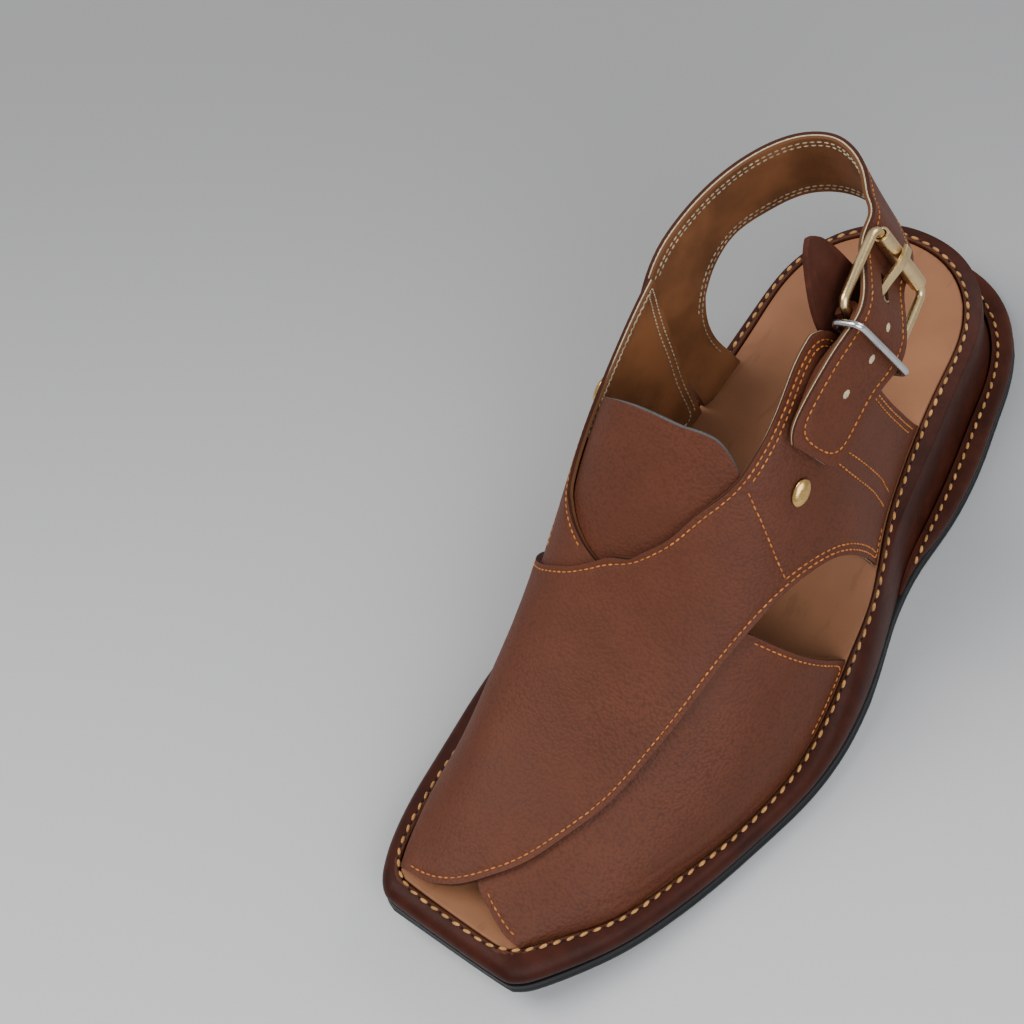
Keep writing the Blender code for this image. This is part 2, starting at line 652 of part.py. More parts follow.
def ribbon(rows_inner, rows_outer, slot=()):
    """A strap as a closed solid between an inner and an outer row of points per section.

    The spans named in slot stay open along the strap's middle.
    """
    solid = bmesh.new()
    columns = []
    for inner, outer in zip(rows_inner, rows_outer):
        columns.append([solid.verts.new(p) for p in inner] + [solid.verts.new(p) for p in outer[::-1]])
    count = len(columns[0])
    middle = (len(rows_inner[0]) // 2 - 1, count - len(rows_inner[0]) // 2 - 1)
    for number, (here, there) in enumerate(zip(columns[:-1], columns[1:])):
        for i in range(count):
            j = (i + 1) % count
            if number not in slot or i not in middle:
                solid.faces.new((here[i], here[j], there[j], there[i]))
        if number in slot:
            low, high = middle
            for i, j in ((low, high + 1), (low + 1, high)):
                solid.faces.new((here[i], here[j], there[j], there[i]))
    for level in ((min(slot), max(slot) + 1) if slot else ()):
        low, high = middle
        solid.faces.new([columns[level][i] for i in (low, low + 1, high, high + 1)])
    solid.faces.new(columns[0][::-1])
    solid.faces.new(columns[-1])
    return solid


def strap_columns(width, shift):
    """Shares of a strap's width for its columns; the middle two are the sides of the prong's slot."""
    half = PRONG_WIDTH / 2 + SLOT_PLAY
    low = (PRONG_SHIFT - half - shift) / width + 0.5
    high = (PRONG_SHIFT + half - shift) / width + 0.5
    return np.array([0.0, low / 2, low, high, (1.0 + high) / 2, 1.0])


def shell_row(row, offset, t):
    """Points across a strap that lies on the shell, from its first edge to its second."""
    at = row[0] + (row[2] - row[0]) * t
    girth = row[1] + (row[3] - row[1]) * t
    first, second = offset if isinstance(offset, tuple) else (offset, offset)
    return shell_points(at, girth, first + (second - first) * t)


def across(first, second, columns):
    """Points across a strap between two edge points."""
    return np.array([first + (second - first) * t for t in columns])


def buckle_frame_axes():
    """Middle of the buckle and its three directions: back, down and out."""
    middle = shell_points(*BUCKLE_PLACE)[0]
    down_way = np.array(BUCKLE_DOWN)
    back_way = np.array(BUCKLE_BACK)
    return middle, np.array([back_way, down_way, np.cross(down_way, back_way)])


def buckle_point(back, down, out):
    """A place by its distances from the buckle's middle."""
    middle, ways = buckle_frame_axes()
    return middle + np.array([back, down, out]) @ ways


def buckle_row(back, out, width, shift, columns):
    """Points across a strap that lies square to the buckle."""
    first = buckle_point(back, shift - width / 2, out)
    return across(first, buckle_point(back, shift + width / 2, out), columns)


def resample(rows, steps):
    """Sections on a smooth curve through the given ones, each span in its number of steps."""
    rows = np.asarray(rows)
    spans = np.linalg.norm(np.diff(rows.mean(axis=1), axis=0), axis=1)
    way = np.concatenate([[0.0], np.cumsum(spans)])
    at = [way[:1]]
    for start, end, step in zip(way[:-1], way[1:], steps):
        at.append(np.linspace(start, end, max(1, int(round((end - start) / step))) + 1)[1:])
    at = np.concatenate(at)
    out = np.zeros((len(at),) + rows.shape[1:])
    for i in range(rows.shape[1]):
        for axis in range(3):
            out[:, i, axis] = curve(way, rows[:, i, axis], at)
    return out


def section_normals(rows):
    """Outward normal at each point of a strap's grid of sections, level where it stands."""
    along = np.gradient(rows, axis=0)
    around = np.gradient(rows, axis=1)
    normal = np.cross(along, around)
    normal[0, :, 2] = 0.0
    return normal / np.linalg.norm(normal, axis=2)[:, :, None]


def strap_sections():
    """Inner face of the heel strap, from the medial seam to its free end."""
    foot = UPPER_WALL - STRAP_THICKNESS
    seat = UPPER_WALL + 2 * GAP
    columns = strap_columns(STRAP_WIDTH, STRAP_SHIFT)
    rows = [shell_row(row, foot + (seat - foot) * row[4], columns) for row in STRAP_BASE]
    steps = [1.0] * (len(rows) - 1) + [0.007] * (len(STRAP_LOOP) + 1)
    size = np.array([HEEL_WIDTH, SOLE_LENGTH, STRAP_HEIGHT])
    for row in STRAP_LOOP:
        rows.append(across(np.array(row[:3]) * size, np.array(row[3:]) * size, columns))
    for back, out in STRAP_BUCKLE:
        rows.append(buckle_row(back * MILLI, out * MILLI, STRAP_WIDTH, STRAP_SHIFT, columns))
    for row in STRAP_END:
        lifts = (UPPER_WALL + row[4] * STRAP_THICKNESS, UPPER_WALL + row[5] * STRAP_THICKNESS)
        rows.append(shell_row(row, lifts, columns))
    steps += [0.0028] * (len(STRAP_BUCKLE) - 1) + [0.006] * len(STRAP_END)
    return resample(rows, steps)


def build_heel_strap():
    rows = strap_sections()
    outer = rows + section_normals(rows) * STRAP_THICKNESS
    back = (rows.mean(axis=1) - shell_points(*BUCKLE_PLACE)[0]) @ np.array(BUCKLE_BACK)
    lateral = rows.mean(axis=1)[:, 0] > 0
    low, high = (value * MILLI for value in STRAP_SLOT)
    slot = [i for i in range(len(rows) - 1) if lateral[i] and low <= back[i + 1] and back[i] <= high]
    solid = ribbon(rows, outer, slot)
    return new_object("heel_strap", solid, (0.135, 0.044, 0.022), 0.5)


def build_buckle_strap():
    """Strap from the lateral quarter, folded round the hinge bar, slotted for the prong."""
    width = BUCKLE_WIDTH - 2 * BUCKLE_CORNER - 2 * GAP
    columns = strap_columns(width, 0.0)
    inner = [shell_row(row, UPPER_WALL + 2 * GAP, columns) for row in BUCKLE_STRAP]
    outer = [shell_row(row, UPPER_WALL + 2 * GAP + FOLD_THICKNESS, columns) for row in BUCKLE_STRAP]
    for back, out in BUCKLE_FOLD:
        inner.append(buckle_row(back * MILLI, out * MILLI, width, 0.0, columns))
        outer.append(buckle_row((back - 0.4) * MILLI, out * MILLI + FOLD_THICKNESS, width, 0.0, columns))
    hinge = -BUCKLE_LENGTH / 2
    radius = BUCKLE_WIRE / 2 + GAP
    angles = np.radians(np.linspace(90, -110, 11))
    for angle in angles:
        for rows, reach in ((inner, radius), (outer, radius + FOLD_THICKNESS)):
            back, out = hinge + reach * math.cos(angle), reach * math.sin(angle)
            rows.append(buckle_row(back, out, width, 0.0, columns))
    start = len(BUCKLE_STRAP) + 2
    slot = range(start, len(inner) - 7)
    return new_object("buckle_strap", ribbon(inner, outer, slot), (0.125, 0.040, 0.021), 0.5)


def tube(path, radius, sides, closed):
    """A round wire along a path; a closed path makes a ring."""
    path = np.asarray(path)
    ways = np.roll(path, -1, axis=0) - np.roll(path, 1, axis=0)
    if not closed:
        ways[0] = path[1] - path[0]
        ways[-1] = path[-1] - path[-2]
    middle = path.mean(axis=0)
    level = np.cross(path[len(path) // 4] - middle, path[0] - middle)
    solid = bmesh.new()
    rings = []
    for p, way in zip(path, ways):
        way = way / np.linalg.norm(way)
        side = np.cross(way, level)
        side = side / np.linalg.norm(side)
        up = np.cross(side, way)
        turns = np.linspace(0, 2 * math.pi, sides, endpoint=False)
        rings.append([solid.verts.new(p + radius * (math.cos(a) * side + math.sin(a) * up)) for a in turns])
    pairs = list(zip(rings, rings[1:] + rings[:1])) if closed else list(zip(rings[:-1], rings[1:]))
    for here, there in pairs:
        for i in range(sides):
            j = (i + 1) % sides
            solid.faces.new((here[i], here[j], there[j], there[i]))
    if not closed:
        solid.faces.new(rings[0])
        solid.faces.new(rings[-1])
    return solid


def rounded_loop(half_long, half_wide, corner, steps=4):
    """Corner points of a flat rounded rectangle."""
    points = []
    for turn, (x, y) in enumerate(((1, 1), (-1, 1), (-1, -1), (1, -1))):
        for k in range(steps + 1):
            angle = math.pi / 2 * (turn + k / steps)
            points.append((x * (half_long - corner) + corner * math.cos(angle),
                           y * (half_wide - corner) + corner * math.sin(angle)))
    return points


def build_buckle_frame():
    loop = rounded_loop(BUCKLE_LENGTH / 2, BUCKLE_WIDTH / 2, BUCKLE_CORNER)
    path = [buckle_point(x, y, 0.0) for x, y in loop]
    solid = tube(path, BUCKLE_WIRE / 2, 10, True)
    return new_object("buckle_frame", solid, (0.60, 0.47, 0.28), 0.28, 1.0)


def build_buckle_roller():
    half = BUCKLE_WIDTH / 2 - BUCKLE_CORNER - GAP
    radii = (BUCKLE_WIRE / 2 + GAP, ROLLER_DIAMETER / 2)
    solid = bmesh.new()
    sides = 16
    rings = []
    for radius, down in ((radii[0], -half), (radii[1], -half), (radii[1], half), (radii[0], half)):
        ring_points = []
        for k in range(sides):
            angle = 2 * math.pi * k / sides
            back = BUCKLE_LENGTH / 2 + radius * math.cos(angle)
            ring_points.append(solid.verts.new(buckle_point(back, down, radius * math.sin(angle))))
        rings.append(ring_points)
    for here, there in zip(rings, rings[1:] + rings[:1]):
        for i in range(sides):
            j = (i + 1) % sides
            solid.faces.new((here[i], here[j], there[j], there[i]))
    return new_object("buckle_roller", solid, (0.60, 0.47, 0.28), 0.32, 1.0)


def build_buckle_prong():
    """Flat prong, curled on the hinge bar, through both straps and over the roller."""
    hinge = -BUCKLE_LENGTH / 2
    radius = BUCKLE_WIRE / 2 + GAP
    inner = []
    outer = []
    for angle in np.radians(np.linspace(225, 90, 7)):
        for rows, reach in ((inner, radius), (outer, radius + PRONG_THICKNESS)):
            rows.append((hinge + reach * math.cos(angle), reach * math.sin(angle)))
    for back, out in PRONG_PATH:
        inner.append((back * MILLI, out * MILLI))
        outer.append((back * MILLI, out * MILLI + PRONG_THICKNESS))
    sides = (PRONG_SHIFT - PRONG_WIDTH / 2, PRONG_SHIFT + PRONG_WIDTH / 2)
    low = [[buckle_point(x, y, z) for y in sides] for x, z in inner]
    high = [[buckle_point(x, y, z) for y in sides] for x, z in outer]
    return new_object("buckle_prong", ribbon(low, high), (0.60, 0.47, 0.28), 0.30, 1.0)


def build_strap_keeper():
    """Wire loop round the heel strap, its inner bar under the buckle strap."""
    wire = KEEPER_WIRE / 2
    rows = strap_sections()
    faces = np.concatenate([rows, rows + section_normals(rows) * STRAP_THICKNESS])
    middle, ways = buckle_frame_axes()
    strap = (faces.reshape(-1, 3) - middle) @ ways.T
    near = strap[np.abs(strap[:, 0] + KEEPER_PLACE) < KEEPER_WIRE * 1.5]
    near = near[near[:, 2] > 0.0]
    fold = BUCKLE_WIDTH / 2 - BUCKLE_CORNER - GAP
    top = min(near[:, 1].min(), -fold) - wire - GAP
    bottom = max(near[:, 1].max(), fold) + wire + GAP
    inner = -KEEPER_DEPTH
    outer = near[:, 2].max() + wire + GAP
    loop = rounded_loop((bottom - top) / 2, (outer - inner) / 2, KEEPER_CORNER)
    path = []
    for x, y in loop:
        path.append(buckle_point(-KEEPER_PLACE + KEEPER_SLANT * x, (top + bottom) / 2 + x, (inner + outer) / 2 + y))
    return new_object("strap_keeper", tube(path, wire, 10, True), (0.55, 0.55, 0.55), 0.25, 1.0)


def build_buckle_tab():
    """Rounded tab behind the buckle."""
    edge = np.array(TAB_EDGE) * MILLI
    solid = bmesh.new()
    front = [solid.verts.new(buckle_point(x, y, -TAB_DEPTH)) for x, y in edge]
    back = [solid.verts.new(buckle_point(x, y, -TAB_DEPTH - TAB_THICKNESS)) for x, y in edge]
    solid.faces.new(front)
    solid.faces.new(back[::-1])
    for i in range(len(edge)):
        j = (i + 1) % len(edge)
        solid.faces.new((front[i], back[i], back[j], front[j]))
    return new_object("buckle_tab", solid, (0.060, 0.018, 0.012), 0.5)


def build_rivet(name, spot, offset):
    """Oval domed rivet on a quarter."""
    at, girth = spot
    place = shell_points(at, girth, offset)[0]
    along = shell_points(at + 0.01, girth, offset)[0] - shell_points(at - 0.01, girth, offset)[0]
    along = along / np.linalg.norm(along)
    normal = shell_points(at, girth, offset + MILLI)[0] - place
    normal = normal / np.linalg.norm(normal)
    side = np.cross(normal, along)
    solid = bmesh.new()
    sides = 16
    rings = []
    for reach, rise in ((1.0, 0.0), (1.0, 0.35), (0.80, 0.75), (0.45, 0.96)):
        points = []
        for k in range(sides):
            angle = 2 * math.pi * k / sides
            flat = along * math.cos(angle) * RIVET_LENGTH / 2 + side * math.sin(angle) * RIVET_WIDTH / 2
            points.append(solid.verts.new(place + flat * reach + normal * RIVET_DOME * rise))
        rings.append(points)
    for here, there in zip(rings[:-1], rings[1:]):
        for i in range(sides):
            j = (i + 1) % sides
            solid.faces.new((here[i], here[j], there[j], there[i]))
    solid.faces.new(rings[0][::-1])
    solid.faces.new(rings[-1])
    return new_object(name, solid, (0.60, 0.47, 0.28), 0.3, 1.0)


def build_all():
    for item in list(bpy.data.objects):
        bpy.data.objects.remove(item)
    at = stations()
    frame = ring_frame(at)
    build_outsole(at, frame)
    build_midsole(at, frame)
    build_welt()
    build_insole(at, frame)
    build_upper()
    build_tongue()
    build_heel_strap()
    build_buckle_strap()
    build_buckle_tab()
    build_buckle_frame()
    build_buckle_roller()
    build_buckle_prong()
    build_strap_keeper()
    build_rivet("rivet_lateral", LATERAL_RIVET, over_offset(LATERAL_RIVET)[0] + GAP)
    build_rivet("rivet_medial", MEDIAL_RIVET, UPPER_WALL + GAP)


build_all()
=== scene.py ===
"""Finished left chappal: leather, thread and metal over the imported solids, on a studio floor.

Laid out as a Blender add-on and run as a script. Lengths are metres.
"""
import math
import random

import bmesh
import bpy
from bpy.props import FloatProperty, FloatVectorProperty, PointerProperty
from mathutils import Matrix, Vector
from mathutils.bvhtree import BVHTree
from mathutils.kdtree import KDTree


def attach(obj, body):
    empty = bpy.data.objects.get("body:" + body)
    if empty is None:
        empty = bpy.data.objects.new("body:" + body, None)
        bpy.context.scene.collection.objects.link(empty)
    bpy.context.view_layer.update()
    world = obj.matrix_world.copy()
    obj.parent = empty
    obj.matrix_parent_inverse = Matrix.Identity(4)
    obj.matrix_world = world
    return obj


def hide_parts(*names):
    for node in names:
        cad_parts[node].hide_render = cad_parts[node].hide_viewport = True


bl_info = {
    "name": "Chappal finish",
    "version": (1, 0, 0),
    "blender": (4, 5, 0),
    "location": "View3D > Sidebar > Chappal",
    "description": "Leather, stitches, lining and metal for a buckled left chappal",
    "category": "Object",
}

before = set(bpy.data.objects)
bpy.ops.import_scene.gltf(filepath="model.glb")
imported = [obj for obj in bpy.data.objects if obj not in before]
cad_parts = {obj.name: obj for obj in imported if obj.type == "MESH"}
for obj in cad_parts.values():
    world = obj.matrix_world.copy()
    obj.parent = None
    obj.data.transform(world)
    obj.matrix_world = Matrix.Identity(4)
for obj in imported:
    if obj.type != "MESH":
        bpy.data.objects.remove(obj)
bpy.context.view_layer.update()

# Camera: its place, and the directions to its right, upwards and backwards
CAMERA_PLACE = (0.22545, -0.21729, 0.63690)
CAMERA_RIGHT = (0.77983, 0.59601, -0.19140)
CAMERA_UP = (-0.46019, 0.75311, 0.47016)
CAMERA_BACK = (0.42436, -0.27856, 0.86158)
CAMERA_LENS = 76.51
SENSOR_WIDTH = 36.0

# Studio: floor's half width, sky, and lamps by name, place, width, watts and tint, aimed at a target
FLOOR_REACH = 4.0
SKY = (0.86, 0.90, 0.95, 1.0)
SKY_STRENGTH = 0.55
LAMP_TARGET = (0.0, -0.01, 0.04)
LAMPS = (
    ("key", (-0.75, -0.35, 1.35), 0.9, 19.0, (1.0, 0.98, 0.95)),
    ("fill", (0.95, -0.55, 1.0), 1.1, 17.0, (0.95, 0.97, 1.0)),
    ("rim", (0.35, 1.1, 0.8), 0.8, 8.0, (1.0, 0.99, 0.97)),
)
# Painted shade: the floor's colour darkens along this way, to this share of its tone, standing in for the
# light falling off across the floor
FAR_WAY = (-0.460, 0.753, 0.0)
FAR_PAINTED_SHADE = 0.46
FAR_SPAN = (-0.22, 0.24)
# Folds sharper than this angle are edges, and a ring of them has at least so many points
FOLD_ANGLE = 42.0
RING_POINTS = 60
# A patch that leans less than this towards or away from the foot is a cut edge
EDGE_LEAN = 0.45
# Levels of the smoothing surface
SMOOTH_LEVELS = 2
# Rows of the lower strap end this far before the upper strap's edge
STEP_CLEAR = 0.0045
# Stitch rows outwards from the platform's lip and from the foot of the heel band
RIM_OUT = 0.0014
FLANGE_REACH = 0.0014
LEDGE_OUT = 0.0022
# The ledge's row lies this far above the foot of the heel band, behind this place along the shoe
LEDGE_RISE = 0.0034
LEDGE_START = 0.036
# Rows inwards from the leather's edges
FIRST_ROW = 0.0018
SECOND_ROW = 0.0036
LINING_ROWS = (0.0020, 0.0042)
STRAP_ROW = 0.0028
STRAP_LINING_ROWS = (0.0022, 0.0042)
# The heel strap's rows run above this height, round borders longer than this
STRAP_LOW = 0.045
LONG_RUN = 0.1
# Stitches: share of the pitch that one fills, rise out of the leather, slant, farthest surface
THIN_SHARE, THIN_RISE = 0.78, 0.3
SADDLE_SHARE, SADDLE_RISE, SADDLE_SLANT = 0.68, 0.5, 0.14
SEW_REACH = 0.006
# Threads thicker than this come out of holes that show, drawn as flat dark discs of painted shade
THICK_THREAD = 0.001
# Punched holes: half length of the rim and of the dark middle, a flat disc of painted shade, width to length,
# half height
PUNCH_RIM, PUNCH_MIDDLE, PUNCH_SHARE, PUNCH_RISE = 0.00165, 0.00085, 0.65, 0.00025
# Pressed lines: width and depth under the rows and of the creases, and the step along a crease
ROW_GROOVE = (0.0009, 0.0003)
UPPER_CREASE = (0.0011, 0.00028)
FOOTBED_CREASE = (0.0010, 0.00032)
CREASE_STEP = 0.002
# Punched holes of the heel strap's free end, and seams across the lateral quarter, millimetres
STRAP_HOLES = ((25.0, 59.4, 109.3), (26.2, 47.0, 109.2), (23.5, 34.1, 107.2))
QUARTER_SEAMS = (
    ((13.8, -2.0, 96.2), (20.2, -4.9, 86.9), (24.9, -7.7, 79.0), (29.2, -9.8, 71.4)),
    ((25.7, 27.7, 88.0), (28.1, 32.3, 75.9), (29.7, 39.1, 56.8), (29.9, 42.1, 42.6)),
    ((26.4, 23.0, 88.3), (29.4, 26.7, 76.5), (31.3, 33.5, 57.1), (31.6, 36.8, 43.4)),
)
# Main creases, millimetres: beside the rim on the lateral side, and on the footbed
CREASES = (
    ((30.1, -107.2, 19.5), (34.9, -93.1, 16.4), (39.5, -79.0, 15.1), (43.6, -63.8, 15.0),
     (45.4, -53.5, 15.8)),
    ((31.8, -97.9, 21.1), (37.0, -82.2, 20.4), (41.6, -66.1, 21.6), (43.9, -54.5, 22.6)),
    ((26.2, -110.1, 23.0), (32.6, -99.6, 18.5), (37.2, -86.3, 16.6)),
    ((40.6, -62.7, 26.1), (44.2, -46.9, 25.5), (45.2, -32.3, 26.1)),
    ((31.9, 29.7, 60.7), (34.0, 24.8, 57.6), (35.4, 21.7, 56.6)),
    ((31.4, 34.4, 51.5), (34.6, 26.4, 48.2), (37.8, 18.6, 46.0)),
)
FOOTBED_CREASES = (
    ((33.7, 14.6, 30.0), (35.5, 4.1, 25.9), (37.4, -7.7, 21.0)),
    ((-38.1, 93.6, 36.2), (-36.5, 76.6, 36.2), (-33.8, 59.5, 36.2)),
    ((-0.3, 97.6, 36.2), (-1.0, 110.5, 36.2), (-4.4, 122.0, 36.2)),
    ((-14.0, 88.0, 36.2), (-12.0, 99.0, 36.2), (-13.0, 112.0, 36.2)),
)


def colour(name, note, value):
    """A colour setting in linear values."""
    return FloatVectorProperty(
        name=name, description=note, default=value, subtype="COLOR", size=3, min=0.0, max=1.0)


def length(name, note, value):
    """A length setting in metres."""
    return FloatProperty(name=name, description=note, default=value, unit="LENGTH", min=0.0, precision=5)


class ChappalColours(bpy.types.PropertyGroup):
    upper: colour("Upper", "Pebbled leather of straps and quarters", (0.094, 0.0265, 0.0120))
    platform: colour("Platform", "Smooth leather wrapped round the platform", (0.038, 0.0085, 0.0042))
    welt: colour("Heel ledge", "Leather of the ledge round the heel", (0.047, 0.0115, 0.0056))
    insole: colour("Insole", "Tan footbed", (0.255, 0.110, 0.053))
    lining: colour("Lining", "Back of the straps", (0.205, 0.080, 0.030))
    raw_edge: colour("Raw edge", "Cut edge of the leather", (0.560, 0.460, 0.300))
    tab: colour("Tab", "Dark tab behind the buckle", (0.060, 0.017, 0.010))
    thin_thread: colour("Thin thread", "Orange thread of straps", (0.500, 0.170, 0.036))
    saddle_thread: colour("Saddle thread", "Thick tan thread round the sole", (0.470, 0.240, 0.080))
    lining_thread: colour("Lining thread", "Pale thread on the lining", (0.480, 0.390, 0.260))
    rubber: colour("Rubber", "Outer sole", (0.006, 0.0065, 0.007))
    brass: colour("Brass", "Buckle and rivets", (0.740, 0.540, 0.280))
    rivet: colour("Rivet", "Golden rivets", (0.640, 0.400, 0.140))
    steel: colour("Steel", "Strap keeper", (0.600, 0.600, 0.600))
    floor: colour("Floor", "Studio floor", (0.550, 0.552, 0.556))


class ChappalSizes(bpy.types.PropertyGroup):
    pebble: length("Pebble", "Width of one pebble of the grain", 0.00100)
    saddle_pitch: length("Saddle pitch", "Step of the stitches round the platform", 0.0042)
    saddle_width: length("Saddle width", "Thickness of the thick thread", 0.00112)
    welt_pitch: length("Ledge pitch", "Step of the stitches on the heel ledge", 0.0040)
    thin_pitch: length("Thin pitch", "Step of the strap stitches", 0.0022)
    thin_width: length("Thin width", "Thickness of the thin thread", 0.00055)


class Value:
    """A shader number that maths can be written with."""

    def __init__(self, tree, socket):
        self.tree = tree
        self.socket = socket

    def maths(self, operation, *others, swap=False):
        node = self.tree.nodes.new("ShaderNodeMath")
        node.operation = operation
        values = [self, *others]
        if swap:
            values.reverse()
        for slot, value in zip(node.inputs, values):
            if isinstance(value, Value):
                self.tree.links.new(value.socket, slot)
            else:
                slot.default_value = value
        return Value(self.tree, node.outputs[0])

    def __add__(self, other):
        return self.maths("ADD", other)

    def __radd__(self, other):
        return self.maths("ADD", other)

    def __sub__(self, other):
        return self.maths("SUBTRACT", other)

    def __rsub__(self, other):
        return self.maths("SUBTRACT", other, swap=True)

    def __mul__(self, other):
        return self.maths("MULTIPLY", other)

    def __rmul__(self, other):
        return self.maths("MULTIPLY", other)

    def clamp(self):
        return self.maths("MAXIMUM", 0.0).maths("MINIMUM", 1.0)


class Finish:
    """A material under construction."""

    def __init__(self, name, metallic=0.0, roughness=0.5):
        self.material = bpy.data.materials.new(name)
        self.material.use_nodes = True
        self.tree = self.material.node_tree
        self.shader = self.tree.nodes["Principled BSDF"]
        self.shader.inputs["Metallic"].default_value = metallic
        self.shader.inputs["Roughness"].default_value = roughness
        self.shader.inputs["Specular IOR Level"].default_value = 0.5 if metallic else 0.22
        self.place = self.value(self.node("ShaderNodeTexCoord"), "Object")

    def node(self, kind, settings=(), inputs=()):
        """Adds a node: its settings first, then the values or links of its sockets."""
        node = self.tree.nodes.new(kind)
        for key, value in dict(settings).items():
            setattr(node, key, value)
        for key, value in dict(inputs).items():
            if isinstance(value, Value):
                self.tree.links.new(value.socket, node.inputs[key])
            else:
                node.inputs[key].default_value = value
        return node

    def value(self, node, output=0):
        return Value(self.tree, node.outputs[output])

    def noise(self, size, detail=3.0, rough=0.5, place=None):
        """Noise with spots of about a size, from 0 to 1."""
        inputs = {"Vector": place or self.place, "Scale": 1.0 / size, "Detail": detail, "Roughness": rough}
        return self.value(self.node("ShaderNodeTexNoise", (), inputs), "Fac")

    def cells(self, size, place=None, smooth=0.6):
        """Distance to the middle of rounded cells of about a size."""
        inputs = {"Vector": place or self.place, "Scale": 1.0 / size, "Smoothness": smooth}
        return self.value(self.node("ShaderNodeTexVoronoi", {"feature": "SMOOTH_F1"}, inputs), "Distance")

    def warped(self, size, amount):
        """The place moved about by noise."""
        inputs = {"Vector": self.place, "Scale": 1.0 / size, "Detail": 2.0}
        noise = self.node("ShaderNodeTexNoise", (), inputs)
        inputs = {0: self.value(noise, "Color"), 1: (amount, amount, amount), 2: self.place}
        return self.value(self.node("ShaderNodeVectorMath", {"operation": "MULTIPLY_ADD"}, inputs))

    def ramp(self, value, low, high):
        """0 below low, 1 above high, smooth between."""
        settings = {"interpolation_type": "SMOOTHSTEP", "clamp": True}
        inputs = {"Value": value, "From Min": low, "From Max": high}
        return self.value(self.node("ShaderNodeMapRange", settings, inputs))

    def mix(self, factor, first, second):
        """Colour between two."""
        inputs = {0: factor, 6: self.rgba(first), 7: self.rgba(second)}
        return self.value(self.node("ShaderNodeMix", {"data_type": "RGBA"}, inputs), 2)

    @staticmethod
    def rgba(value):
        return value if isinstance(value, Value) else (*tuple(value)[:3], 1.0)

    def feed(self, name, value):
        """Sets or links one of the shader's sockets."""
        if isinstance(value, Value):
            self.tree.links.new(value.socket, self.shader.inputs[name])
        else:
            self.shader.inputs[name].default_value = value

    def relief(self, height, depth):
        """Bump of a depth in metres."""
        inputs = {"Height": height, "Distance": depth, "Strength": 1.0}
        return self.value(self.node("ShaderNodeBump", (), inputs))


def shade(base, factor):
    """A darker or lighter version of a colour."""
    return tuple(min(1.0, c * factor) for c in base[:3])


def pebbled_leather(name, base, pebble, strength=1.0):
    """Full-grain leather with small pebbles, stronger in soft broad patches."""
    finish = Finish(name, roughness=0.55)
    broad = finish.ramp(finish.noise(0.055, 2.0), 0.38, 0.62)
    cells = finish.cells(pebble, finish.warped(0.004, 0.0007), 0.3)
    fine = finish.noise(0.0005, 3.0, 0.6)
    mottle = finish.noise(0.018, 4.0, 0.6)
    worn = finish.mix(finish.ramp(mottle, 0.35, 0.7), shade(base, 0.92), shade(base, 1.07))
    pits = finish.ramp(cells, 0.42, 0.80) * (0.24 + 0.18 * broad)
    finish.feed("Base Color", finish.mix(pits, worn, shade(base, 0.50)))
    finish.feed("Roughness", (0.46 + 0.16 * fine + 0.08 * mottle).clamp())
    height = (1.0 - cells) * (0.60 + 0.40 * broad) + 0.14 * fine
    finish.feed("Normal", finish.relief(height, 0.00024 * strength))
    return finish.material


def smooth_leather(name, base, gloss=0.42):
    """Smooth waxed leather with fine grain and long soft creases."""
    finish = Finish(name, roughness=gloss)
    finish.shader.inputs["Specular IOR Level"].default_value = 0.12
    mottle = finish.noise(0.012, 4.0, 0.6)
    creases = finish.noise(0.004, 5.0, 0.62, finish.warped(0.01, 0.004))
    fine = finish.noise(0.0006, 2.0)
    tone = finish.mix(finish.ramp(mottle, 0.3, 0.75), shade(base, 0.72), shade(base, 1.25))
    finish.feed("Base Color", finish.mix(finish.ramp(creases, 0.55, 0.75) * 0.35, tone, shade(base, 1.7)))
    finish.feed("Roughness", (gloss + 0.18 * fine + 0.12 * creases - 0.1).clamp())
    finish.feed("Normal", finish.relief(creases + 0.25 * fine, 0.00016))
    return finish.material


def footbed_leather(name, base):
    """Tan footbed: soft cloudy tone, faint lengthwise creases and small pores."""
    finish = Finish(name, roughness=0.52)
    stretched = finish.node("ShaderNodeMapping", (), {"Vector": finish.place, "Scale": (1.0, 0.22, 1.0)})
    along = finish.noise(0.009, 4.0, 0.55, finish.value(stretched))
    cloud = finish.noise(0.03, 3.0)
    fine = finish.noise(0.0007, 3.0, 0.6)
    tone = finish.mix(finish.ramp(cloud, 0.3, 0.7), shade(base, 0.88), shade(base, 1.1))
    line = finish.ramp(along, 0.60, 0.66) * (1.0 - finish.ramp(along, 0.66, 0.72))
    finish.feed("Base Color", finish.mix(line * 0.3, tone, shade(base, 0.55)))
    finish.feed("Roughness", (0.46 + 0.2 * fine).clamp())
    finish.feed("Normal", finish.relief(0.7 * along + 0.3 * fine, 0.0002))
    return finish.material


def suede(name, base):
    """Fibrous raw leather: cut edges and backs."""
    finish = Finish(name, roughness=0.85)
    fibre = finish.noise(0.0006, 4.0, 0.7)
    spots = finish.noise(0.004, 3.0, 0.6)
    tone = finish.mix(finish.ramp(fibre, 0.3, 0.7), shade(base, 0.72), shade(base, 1.15))
    finish.feed("Base Color", finish.mix(finish.ramp(spots, 0.5, 0.75) * 0.4, tone, shade(base, 0.6)))
    finish.feed("Normal", finish.relief(fibre, 0.00025))
    return finish.material


